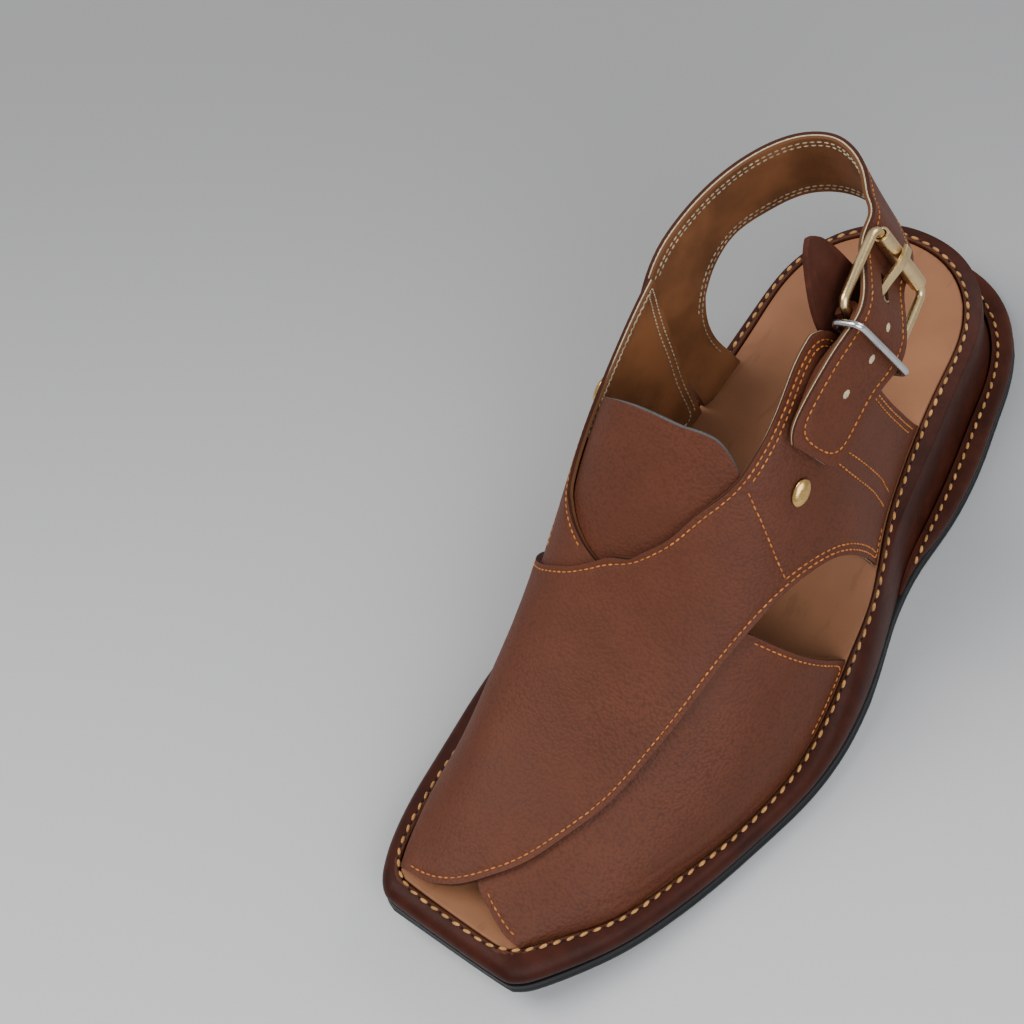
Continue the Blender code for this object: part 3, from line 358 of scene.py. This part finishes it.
def cut_edge(name, face, core, back):
    """Cut edge of lined leather: a thin pale core between two brown layers, the layers darkened partly for
    the edge's own dye and partly as painted shade of the edges' shadow.
    """
    finish = Finish(name, roughness=0.8)
    share = finish.value(finish.node("ShaderNodeAttribute", {"attribute_name": "across"}), "Fac")
    fibre = finish.noise(0.0007, 4.0, 0.7)
    wander = share + (fibre - 0.5) * 0.14
    along = finish.value(finish.node("ShaderNodeSeparateXYZ", (), {0: finish.place}), 1)
    core_band = finish.ramp(wander, 0.40, 0.47) * (1.0 - finish.ramp(wander, 0.62, 0.70))
    pale = core_band * finish.ramp(along, 0.006, 0.016)
    # Painted shade: the brown layers take half the face's and the back's colour, partly the edge's own dark
    # dye and partly standing in for the shadow and dark contact line along the edges
    layers = finish.mix(finish.ramp(wander, 0.50, 0.60), shade(face, 0.50), shade(back, 0.55))
    worn = finish.mix(finish.ramp(fibre, 0.3, 0.7), shade(core, 0.6), shade(core, 1.1))
    finish.feed("Base Color", finish.mix(pale, layers, worn))
    finish.feed("Normal", finish.relief(fibre, 0.0002))
    return finish.material


def lining_leather(name, base):
    """Smooth waxed lining with darker rubbed patches."""
    finish = Finish(name, roughness=0.55)
    broad = finish.noise(0.02, 3.0)
    fine = finish.noise(0.0006, 3.0, 0.6)
    finish.feed("Base Color", finish.mix(finish.ramp(broad, 0.35, 0.7), shade(base, 0.7), shade(base, 1.2)))
    finish.feed("Roughness", (0.5 + 0.2 * fine).clamp())
    finish.feed("Normal", finish.relief(fine + 0.5 * broad, 0.00016))
    return finish.material


def thread(name, base):
    """Waxed twisted thread."""
    finish = Finish(name, roughness=0.55)
    twist = finish.noise(0.00035, 2.0)
    tone = finish.noise(0.003, 2.0)
    pale = finish.mix(finish.ramp(tone, 0.3, 0.7), shade(base, 0.7), shade(base, 1.2))
    finish.feed("Base Color", finish.mix(finish.ramp(twist, 0.45, 0.7) * 0.5, pale, shade(base, 0.4)))
    finish.feed("Normal", finish.relief(twist, 0.00012))
    return finish.material


def rubber(name, base):
    """Matte sole rubber with fine mould texture and a few pale scuffs."""
    finish = Finish(name, roughness=0.5)
    fine = finish.noise(0.0008, 4.0, 0.6)
    scuff = finish.ramp(finish.noise(0.006, 5.0, 0.7), 0.62, 0.72)
    finish.feed("Base Color", finish.mix(scuff * 0.3, base, shade(base, 3.0)))
    finish.feed("Roughness", (0.36 + 0.25 * fine).clamp())
    finish.feed("Normal", finish.relief(fine, 0.00015))
    return finish.material


def metal(name, base, roughness):
    """Polished metal with faint scratches and dull spots."""
    finish = Finish(name, metallic=1.0, roughness=roughness)
    dull = finish.noise(0.004, 4.0, 0.6)
    scratch = finish.noise(0.0007, 3.0, 0.7, finish.warped(0.003, 0.002))
    finish.feed("Base Color", finish.mix(finish.ramp(dull, 0.45, 0.7) * 0.4, base, shade(base, 0.6)))
    finish.feed("Roughness", (roughness + 0.16 * dull + 0.1 * scratch - 0.1).clamp())
    finish.feed("Normal", finish.relief(dull + 0.3 * scratch, 0.00006))
    return finish.material


def plain(name, base, painted_far_shade=None):
    """Even colour with a trace of mottling, that may drift to another across the floor, as painted shade of
    the light falling off.
    """
    finish = Finish(name, roughness=0.9)
    spots = finish.noise(0.002, 2.0)
    tone = finish.mix(spots, shade(base, 0.98), shade(base, 1.02))
    if painted_far_shade:
        way = finish.node("ShaderNodeVectorMath", {"operation": "DOT_PRODUCT"}, {0: finish.place, 1: FAR_WAY})
        # Painted shade: darker towards the far side of the floor, where the light falls off
        tone = finish.mix(finish.ramp(finish.value(way, 1), *FAR_SPAN), tone, painted_far_shade)
    finish.feed("Base Color", tone)
    return finish.material


def foot_middle(point):
    """Middle of the foot at a place along the shoe."""
    rise = min(1.0, max(0.0, (point.y + 0.06) / 0.08))
    return Vector((-0.005, point.y, 0.008 + 0.027 * rise))


def heel_middle(point):
    """Middle of the heel strap's loop."""
    return Vector((-0.012, 0.062, point.z))


def merged_copy(node):
    """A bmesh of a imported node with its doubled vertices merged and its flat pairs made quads."""
    shape = bmesh.new()
    shape.from_mesh(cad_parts[node].data)
    bmesh.ops.remove_doubles(shape, verts=shape.verts, dist=0.000005)
    bmesh.ops.join_triangles(
        shape, faces=shape.faces, angle_face_threshold=0.35, angle_shape_threshold=0.9)
    shape.normal_update()
    return shape


def sharp_edges(shape):
    """Edges that fold more than the fold angle."""
    limit = math.radians(FOLD_ANGLE)
    return [e for e in shape.edges if len(e.link_faces) == 2 and e.calc_face_angle(0.0) > limit]


def skins(shape, middle):
    """Marks each smooth patch of a sheet: 0 outside, 1 inside, 2 its cut edge."""
    sharp = set(sharp_edges(shape))
    seen = set()
    for first in shape.faces:
        if first in seen:
            continue
        patch, queue = [first], [first]
        seen.add(first)
        while queue:
            for edge in queue.pop().edges:
                if edge in sharp:
                    continue
                for face in edge.link_faces:
                    if face not in seen:
                        seen.add(face)
                        patch.append(face)
                        queue.append(face)
        lean = 0.0
        area = 0.0
        for face in patch:
            centre = face.calc_center_median()
            lean += face.normal.dot((centre - middle(centre)).normalized()) * face.calc_area()
            area += face.calc_area()
        lean /= max(area, 1e-12)
        side = 2 if abs(lean) < EDGE_LEAN else (0 if lean > 0 else 1)
        for face in patch:
            face.material_index = side


def mark_across(shape):
    """Stores 0 on the outside's points and 1 on the inside's, for the cut edge's layers."""
    layer = shape.verts.layers.float.new("across")
    for face in shape.faces:
        if face.material_index == 1:
            for vert in face.verts:
                vert[layer] = 1.0


def borders(shape, side):
    """Closed runs of points along the edge of each patch of a side, with the way into the patch."""
    ahead = {}
    for face in shape.faces:
        if face.material_index != side:
            continue
        for corner in face.loops:
            other = corner.link_loop_radial_next.face
            if other is face or other.material_index != side:
                ahead[corner.vert] = (corner.link_loop_next.vert, face.normal.copy())
    runs = []
    while ahead:
        start = vert = next(iter(ahead))
        run = []
        while vert in ahead:
            following, normal = ahead.pop(vert)
            inward = normal.cross(following.co - vert.co).normalized()
            run.append((vert.co.copy(), inward))
            vert = following
        if vert is start and len(run) > 8:
            runs.append(run)
    return runs


def points_tree(points):
    """A search tree over points."""
    tree = KDTree(len(points))
    for number, point in enumerate(points):
        tree.insert(point, number)
    tree.balance()
    return tree


def columns(along, side, up):
    """A matrix that turns and pulls a shape's x, y and z into three ways."""
    return Matrix((along, side, up)).transposed().to_4x4()


def long_runs(runs):
    """Runs that go all round a strap."""
    return [run for run in runs if sum((b[0] - a[0]).length for a, b in zip(run, run[1:])) > LONG_RUN]


def evened(points, step, closed=True):
    """Points at an even step along a run."""
    points = list(points) + ([points[0]] if closed else [])
    spans = [(b - a).length for a, b in zip(points[:-1], points[1:])]
    total = sum(spans)
    count = max(2, round(total / step))
    even, number, done = [], 0, 0.0
    for k in range(count if closed else count + 1):
        want = total * k / count
        while number < len(spans) - 1 and done + spans[number] < want:
            done += spans[number]
            number += 1
        share = (want - done) / max(spans[number], 1e-9)
        even.append(points[number].lerp(points[number + 1], min(1.0, max(0.0, share))))
    return even


def softened(points, rounds, closed=True):
    """Rounds off the corners of an even run."""
    for _ in range(rounds):
        last = len(points) - 1
        points = [
            p if not closed and i in (0, last)
            else (points[i - 1] + 2.0 * p + points[(i + 1) % len(points)]) / 4.0
            for i, p in enumerate(points)]
    return points


def inset_row(run, inset, step, keep):
    """Places at an even step, a distance inside a border, in the pieces that are kept."""
    shifted = [p + inward * inset for p, inward in run]
    points = softened(evened(softened(evened(shifted, 0.0012), 10), step), 2)
    pieces, piece = [], []
    for point in points:
        if keep(point):
            piece.append(point)
        elif piece:
            pieces.append(piece)
            piece = []
    if piece:
        if pieces and keep(points[0]):
            pieces[0] = piece + pieces[0]
        else:
            pieces.append(piece)
    return [piece for piece in pieces if len(piece) > 3]


class Stitching:
    """Stitches of one kind, gathered into one piece."""

    def __init__(self, name, width, share, rise=0.35, slant=0.0):
        self.name = name
        self.width = width
        self.share = share
        self.rise = rise
        self.slant = slant
        self.chance = random.Random(4)
        self.shape = bmesh.new()
        self.holes = bmesh.new()
        bead = bmesh.new()
        bmesh.ops.create_uvsphere(bead, u_segments=8, v_segments=5, radius=1.0)
        self.bead = bpy.data.meshes.new(name + "_bead")
        bead.to_mesh(self.bead)
        bead.free()

    def add(self, shape, matrix):
        """Adds a bead, pulled into a shape by a matrix."""
        self.bead.transform(matrix)
        shape.from_mesh(self.bead)
        self.bead.transform(matrix.inverted())

    def sew(self, tree, places):
        """Lays a stitch between each two places, on the surface that a tree holds."""
        for here, there in zip(places[:-1], places[1:]):
            spot, normal, _, _ = tree.find_nearest((here + there) / 2.0, SEW_REACH)
            if spot is None:
                continue
            way = there - here
            pitch = way.length
            way = (way - normal * way.dot(normal)).normalized()
            way = Matrix.Rotation(self.slant * self.chance.uniform(0.3, 1.7), 3, normal) @ way
            side = normal.cross(way)
            half = self.width / 2.0 * self.chance.uniform(0.88, 1.10)
            turn = columns(way * (pitch * self.share / 2.0), side * half, normal * half)
            place = Matrix.Translation(spot + normal * half * self.rise)
            self.add(self.shape, place @ turn)
            if self.width > THICK_THREAD:
                hole, _, _, _ = tree.find_nearest(here, SEW_REACH)
                if hole is not None:
                    flat = columns(way * half * 0.95, side * half * 0.85, normal * half * 0.10)
                    self.add(self.holes, Matrix.Translation(hole) @ flat)

    def done(self, material, slot, dark=None):
        """Finishes the stitches as one piece, and their holes, flat dark discs of painted shade, as another.
        """
        finished(self.name, self.shape, [material], 180.0)
        if dark and self.holes.verts:
            finished(self.name + "_holes", self.holes, [dark], 180.0)
        else:
            self.holes.free()
        bpy.data.meshes.remove(self.bead)


def pressed(piece, lines, width, depth):
    """Presses grooves along lines into a piece, on a finer mesh beside them."""
    near = points_tree([point for line in lines for point in evened(line, 0.0006, False)])
    shape = bmesh.new()
    shape.from_mesh(piece.data)
    close = {vert for vert in shape.verts if near.find(vert.co)[2] < 1.9 * width}
    edges = [edge for edge in shape.edges if edge.verts[0] in close and edge.verts[1] in close]
    bmesh.ops.subdivide_edges(shape, edges=edges, cuts=1, use_grid_fill=True)
    shape.normal_update()
    moves = []
    for vert in shape.verts:
        gap = near.find(vert.co)[2]
        if gap < 3.0 * width:
            moves.append((vert, vert.normal * (depth * math.exp(-(gap / width) ** 2))))
    for vert, move in moves:
        vert.co -= move
    shape.to_mesh(piece.data)
    shape.free()
    piece.data.shade_smooth()


def surface_tree(piece):
    """A search tree over a finished piece."""
    return BVHTree.FromPolygons(
        [v.co.copy() for v in piece.data.vertices], [tuple(p.vertices) for p in piece.data.polygons])


def finished(name, shape, materials, smooth_angle=40.0):
    """Makes the bmesh an object that rides with the shoe."""
    mesh = bpy.data.meshes.new(name)
    shape.to_mesh(mesh)
    shape.free()
    for material in materials:
        mesh.materials.append(material)
    mesh.shade_smooth()
    mesh.set_sharp_from_angle(angle=math.radians(smooth_angle))
    piece = bpy.data.objects.new(name, mesh)
    bpy.context.scene.collection.objects.link(piece)
    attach(piece, "root")
    return piece


def subdivided(piece):
    """Bakes a subdivision surface into a piece's mesh."""
    modifier = piece.modifiers.new("Smooth", "SUBSURF")
    modifier.levels = SMOOTH_LEVELS
    modifier.render_levels = SMOOTH_LEVELS
    bpy.context.view_layer.update()
    made = bpy.data.meshes.new_from_object(piece.evaluated_get(bpy.context.evaluated_depsgraph_get()))
    piece.modifiers.clear()
    old = piece.data
    piece.data = made
    bpy.data.meshes.remove(old)
    made.shade_smooth()


def dressed(node, name, materials, middle=None, edge=0.0003, grow=0.0):
    """A node's shape with rounded edges and a smooth surface, standing for the node.

    Gives the piece and the borders of its outside and its inside.
    """
    shape = merged_copy(node)
    if middle:
        skins(shape, middle)
        mark_across(shape)
    rows = {side: borders(shape, side) if middle else [] for side in (0, 1)}
    if grow:
        for vert in shape.verts:
            vert.co += vert.normal * grow
    folds = sharp_edges(shape)
    if folds:
        bmesh.ops.bevel(
            shape, geom=folds, offset=edge, offset_type="OFFSET", segments=2, profile=0.5,
            affect="EDGES", material=-1, clamp_overlap=True)
    piece = finished(name, shape, materials)
    subdivided(piece)
    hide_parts(node)
    return piece, rows


def sharp_rings(node):
    """Closed runs of a solid's sharp edges, lowest first, each point with the way out of the shoe."""
    shape = merged_copy(node)
    near = {}
    for edge in sharp_edges(shape):
        a, b = edge.verts
        if abs(a.co.z - b.co.z) > 0.5 * edge.calc_length():
            continue
        near.setdefault(a, []).append(b)
        near.setdefault(b, []).append(a)
    rings = []
    while near:
        vert = next(iter(near))
        ring = []
        while vert in near:
            ring.append(vert.co.copy())
            vert = next((other for other in near.pop(vert) if other in near), None)
        if len(ring) > RING_POINTS:
            rings.append(ring)
    shape.free()
    rings.sort(key=lambda ring: sum(p.z for p in ring) / len(ring))
    out = []
    for ring in rings:
        run = []
        for before, point, after in zip(ring[-1:] + ring[:-1], ring, ring[1:] + ring[:1]):
            way = (after - before).cross(Vector((0.0, 0.0, 1.0))).normalized()
            away = point - Vector((-0.008, min(0.09, max(-0.11, point.y)), point.z))
            run.append((point, way if way.dot(away) > 0 else -way))
        out.append(run)
    return out


def seam(points, step):
    """Places at an even step along an open smooth line."""
    line = evened([Vector(p) / 1000.0 for p in points], 0.001, False)
    return evened(softened(line, 8, False), step, False)


def everywhere(p):
    """The platform's row runs all round."""
    return True


def on_ledge(p):
    """Where the heel ledge's row runs."""
    return p.y > LEDGE_START


def on_strap(p):
    """Where the heel strap's outer row runs."""
    return p.z > STRAP_LOW


def on_strap_lining(p):
    """Where the heel strap's inner rows show."""
    return on_strap(p) and (p.y > 0.053 or p.z > 0.100)


def on_upper(p):
    """Where the outside's first row of stitches runs."""
    return p.z > seam_height(p.y) + 0.0027 and not (p.x < -0.034 and p.y > 0.020)


def doubled(p):
    """Where a second row runs beside the first."""
    return p.z > seam_height(p.y) + 0.006 and p.x > 0.0 and (p.y > 0.0 or (p.x > 0.022 and p.y > -0.012))


def on_lining(p):
    """Where the lining's rows show."""
    return p.x < 0.0 and p.y > -0.005 and p.z > seam_height(p.y) + 0.004


def seam_height(y):
    """Height of the platform's rim along the shoe."""
    share = min(1.0, max(0.0, (y + 0.037) / 0.088))
    toe = min(1.0, max(0.0, (-0.072 - y) / 0.067))
    return 0.0125 + 0.0245 * share * share * (3.0 - 2.0 * share) + 0.010 * toe ** 1.7


def settings():
    """The scene's colours and sizes."""
    return bpy.context.scene.chappal_colours, bpy.context.scene.chappal_sizes


class CHAPPAL_OT_sole(bpy.types.Operator):
    """Outer sole, platform, heel ledge and insole"""

    bl_idname = "chappal.sole"
    bl_label = "Sole"

    def execute(self, context):
        colours, sizes = settings()
        dressed("outsole", "sole_rubber", [rubber("sole_rubber", colours.rubber)])
        wrapped = smooth_leather("platform_leather", colours.platform)
        flange = pebbled_leather("flange_leather", shade(colours.upper, 0.8), sizes.pebble, 0.6)
        wrap, _ = dressed("midsole", "platform_wrap", [wrapped, flange])
        ledge_leather = smooth_leather("ledge_leather", colours.welt)
        ledge, _ = dressed("heel_welt", "heel_ledge", [ledge_leather], grow=0.0003)
        tan = footbed_leather("footbed_leather", colours.insole)
        footbed, _ = dressed("insole", "footbed", [tan])
        pressed(footbed, [seam(line, CREASE_STEP) for line in FOOTBED_CREASES], *FOOTBED_CREASE)

        saddle = Stitching("saddle_stitches", sizes.saddle_width, SADDLE_SHARE, SADDLE_RISE, SADDLE_SLANT)
        # Painted shade: near-black for the flat discs that stand for the shaded hollows of the stitch holes
        dark = plain("stitch_hole_shade", (0.012, 0.006, 0.004))
        rings = sharp_rings("midsole")
        tree = surface_tree(wrap)
        near = points_tree(evened([p for p, _ in rings[-1]], 0.001))
        for polygon in wrap.data.polygons:
            if near.find(polygon.center)[2] < FLANGE_REACH:
                polygon.material_index = 1
        for places in inset_row(rings[-1], RIM_OUT, sizes.saddle_pitch, everywhere):
            saddle.sew(tree, places + places[:1])
        tree = surface_tree(ledge)
        lifted = [(p + Vector((0.0, 0.0, LEDGE_RISE)), way) for p, way in rings[0]]
        for places in inset_row(lifted, LEDGE_OUT, sizes.welt_pitch, on_ledge):
            saddle.sew(tree, places)
        saddle.done(thread("saddle_thread", colours.saddle_thread), "platform_leather", dark)
        return {"FINISHED"}


class CHAPPAL_OT_upper(bpy.types.Operator):
    """Crossed straps with their quarters, and the tongue"""

    bl_idname = "chappal.upper"
    bl_label = "Upper"

    def execute(self, context):
        colours, sizes = settings()
        leather = pebbled_leather("upper_leather", colours.upper, sizes.pebble)
        lining = lining_leather("upper_lining", colours.lining)
        edge = cut_edge("upper_edge", colours.upper, colours.raw_edge, colours.lining)
        skin = [leather, lining, edge]
        straps, rows = dressed("upper", "upper_straps", skin, foot_middle)
        lines = [seam(line, sizes.thin_pitch) for line in QUARTER_SEAMS]
        over, *others = sorted(rows[0], key=len, reverse=True)
        for inset, keep in ((FIRST_ROW, on_upper), (SECOND_ROW, doubled)):
            lines += inset_row(over, inset, sizes.thin_pitch, keep)
        step = points_tree([point for point, _ in over])

        def on_lower(p):
            """Where the lower strap's row stays clear of the upper strap's edge."""
            return on_upper(p) and step.find(p)[2] > STEP_CLEAR

        for run in others:
            lines += inset_row(run, FIRST_ROW, sizes.thin_pitch, on_lower)
        pressed(straps, lines, *ROW_GROOVE)
        pressed(straps, [seam(line, CREASE_STEP) for line in CREASES], *UPPER_CREASE)
        tree = surface_tree(straps)
        thin = Stitching("upper_stitches", sizes.thin_width, THIN_SHARE, THIN_RISE)
        for places in lines:
            thin.sew(tree, places)
        thin.done(thread("thin_thread", colours.thin_thread), "upper_leather")
        pale = Stitching("lining_stitches", sizes.thin_width, THIN_SHARE, THIN_RISE)
        for run in rows[1]:
            for inset in LINING_ROWS:
                for places in inset_row(run, inset, sizes.thin_pitch, on_lining):
                    pale.sew(tree, places)
        pale.done(thread("lining_thread", colours.lining_thread), "upper_leather")
        tongue_edge = suede("tongue_edge", (0.10, 0.11, 0.11))
        dressed("tongue", "tongue_panel", [leather, lining, tongue_edge], foot_middle)
        return {"FINISHED"}


class CHAPPAL_OT_straps(bpy.types.Operator):
    """Heel strap, buckle strap and the tab behind the buckle"""

    bl_idname = "chappal.straps"
    bl_label = "Straps"

    def execute(self, context):
        colours, sizes = settings()
        leather = pebbled_leather("strap_leather", colours.upper, sizes.pebble, 0.6)
        lining = lining_leather("strap_lining", colours.lining)
        raw = suede("raw_edge", colours.raw_edge)
        edge = cut_edge("strap_edge", colours.upper, colours.raw_edge, colours.lining)
        skin = [leather, lining, edge]
        strap, rows = dressed("heel_strap", "heel_strap_leather", skin, heel_middle)
        grooves = []
        for run in long_runs(rows[0]):
            grooves += inset_row(run, STRAP_ROW, CREASE_STEP, on_strap)
        pressed(strap, grooves, *ROW_GROOVE)
        tree = surface_tree(strap)
        thin = Stitching("strap_stitches", sizes.thin_width, THIN_SHARE, THIN_RISE)
        for run in long_runs(rows[0]):
            for places in inset_row(run, STRAP_ROW, sizes.thin_pitch, on_strap):
                thin.sew(tree, places)
        pale = Stitching("strap_lining_stitches", sizes.thin_width, THIN_SHARE, THIN_RISE)
        for run in long_runs(rows[1]):
            for inset in STRAP_LINING_ROWS:
                for places in inset_row(run, inset, sizes.thin_pitch, on_strap_lining):
                    pale.sew(tree, places)
        thin.done(thread("strap_thread", colours.thin_thread), "upper_leather")
        punched = Stitching("strap_holes", 0.0026, 1.0)
        holes = [Vector(place) / 1000.0 for place in STRAP_HOLES]
        for hole in holes:
            spot, normal, _, _ = tree.find_nearest(hole)
            side = normal.cross(holes[-1] - holes[0]).normalized()
            way = side.cross(normal)
            for shape, reach in ((punched.shape, PUNCH_RIM), (punched.holes, PUNCH_MIDDLE)):
                turn = columns(way * reach, side * reach * PUNCH_SHARE, normal * PUNCH_RISE)
                punched.add(shape, Matrix.Translation(spot) @ turn)
        # Painted shade: the near-black middle stands for the shaded hollow of each punched hole; the pale rim
        # is the raw cut leather
        punched.done(raw, "upper_leather", plain("strap_hole", (0.02, 0.01, 0.006)))
        pale.done(thread("strap_lining_thread", colours.lining_thread), "upper_leather")
        dressed("buckle_strap", "buckle_strap_leather", [leather])
        dark = smooth_leather("tab_leather", colours.tab, 0.5)
        skin = [dark, suede("tab_back", colours.lining), dark]
        dressed("buckle_tab", "tab_leather", skin, heel_middle)
        return {"FINISHED"}


class CHAPPAL_OT_hardware(bpy.types.Operator):
    """Buckle, strap keeper and rivets"""

    bl_idname = "chappal.hardware"
    bl_label = "Hardware"

    def execute(self, context):
        colours, _ = settings()
        brass = metal("brass", colours.brass, 0.26)
        golden = metal("rivet_brass", colours.rivet, 0.24)
        steel = metal("steel", colours.steel, 0.2)
        for node, name, material, grow in (
            ("buckle_frame", "frame_wire", brass, 0.00010),
            ("buckle_roller", "roller_tube", brass, 0.00006),
            ("buckle_prong", "prong_strip", brass, 0.0),
            ("rivet_lateral", "lateral_rivet", golden, 0.0),
            ("rivet_medial", "medial_rivet", golden, 0.0),
        ):
            dressed(node, name, [material], edge=0.00015, grow=grow)
        dressed("strap_keeper", "keeper_wire", [steel], edge=0.0002, grow=0.00008)
        return {"FINISHED"}


class CHAPPAL_OT_stage(bpy.types.Operator):
    """Floor, lights and camera"""

    bl_idname = "chappal.stage"
    bl_label = "Stage"

    def execute(self, context):
        colours, _ = settings()
        shape = bmesh.new()
        bmesh.ops.create_grid(shape, x_segments=1, y_segments=1, size=FLOOR_REACH)
        mesh = bpy.data.meshes.new("floor")
        shape.to_mesh(mesh)
        shape.free()
        # The floor's far side gets a painted shade, a darker share of its own colour
        mesh.materials.append(plain("floor", colours.floor, shade(colours.floor, FAR_PAINTED_SHADE)))
        floor = bpy.data.objects.new("floor", mesh)
        context.scene.collection.objects.link(floor)

        world = bpy.data.worlds.new("studio")
        world.use_nodes = True
        background = world.node_tree.nodes["Background"]
        background.inputs["Color"].default_value = SKY
        background.inputs["Strength"].default_value = SKY_STRENGTH
        context.scene.world = world
        target = Vector(LAMP_TARGET)
        for name, place, size, power, tint in LAMPS:
            light = bpy.data.lights.new(name, "AREA")
            light.shape = "SQUARE"
            light.size = size
            light.energy = power
            light.color = tint
            lamp = bpy.data.objects.new(name, light)
            lamp.location = place
            lamp.rotation_euler = (target - Vector(place)).to_track_quat("-Z", "Y").to_euler()
            context.scene.collection.objects.link(lamp)

        lens = bpy.data.cameras.new("camera")
        lens.lens = CAMERA_LENS
        lens.sensor_width = SENSOR_WIDTH
        camera = bpy.data.objects.new("camera", lens)
        turn = columns(CAMERA_RIGHT, CAMERA_UP, CAMERA_BACK)
        camera.matrix_world = Matrix.Translation(CAMERA_PLACE) @ turn
        context.scene.collection.objects.link(camera)
        context.scene.camera = camera
        return {"FINISHED"}


PIECES = (CHAPPAL_OT_stage, CHAPPAL_OT_sole, CHAPPAL_OT_upper, CHAPPAL_OT_straps, CHAPPAL_OT_hardware)


class CHAPPAL_PT_panel(bpy.types.Panel):
    """Lists the pieces that can be made"""

    bl_idname = "CHAPPAL_PT_panel"
    bl_label = "Chappal"
    bl_space_type = "VIEW_3D"
    bl_region_type = "UI"
    bl_category = "Chappal"

    def draw(self, context):
        for group in (context.scene.chappal_colours, context.scene.chappal_sizes):
            for name in group.__annotations__:
                self.layout.prop(group, name)
        for piece in PIECES:
            self.layout.operator(piece.bl_idname)


CLASSES = (ChappalColours, ChappalSizes, *PIECES, CHAPPAL_PT_panel)


def register():
    """Adds the classes and the scene's settings."""
    for item in CLASSES:
        bpy.utils.register_class(item)
    bpy.types.Scene.chappal_colours = PointerProperty(type=ChappalColours)
    bpy.types.Scene.chappal_sizes = PointerProperty(type=ChappalSizes)


def unregister():
    """Removes them again."""
    del bpy.types.Scene.chappal_sizes
    del bpy.types.Scene.chappal_colours
    for item in reversed(CLASSES):
        bpy.utils.unregister_class(item)


def main():
    """Makes the scene."""
    register()
    bpy.ops.chappal.stage()
    bpy.ops.chappal.sole()
    bpy.ops.chappal.upper()
    bpy.ops.chappal.straps()
    bpy.ops.chappal.hardware()


if __name__ == "__main__":
    main()
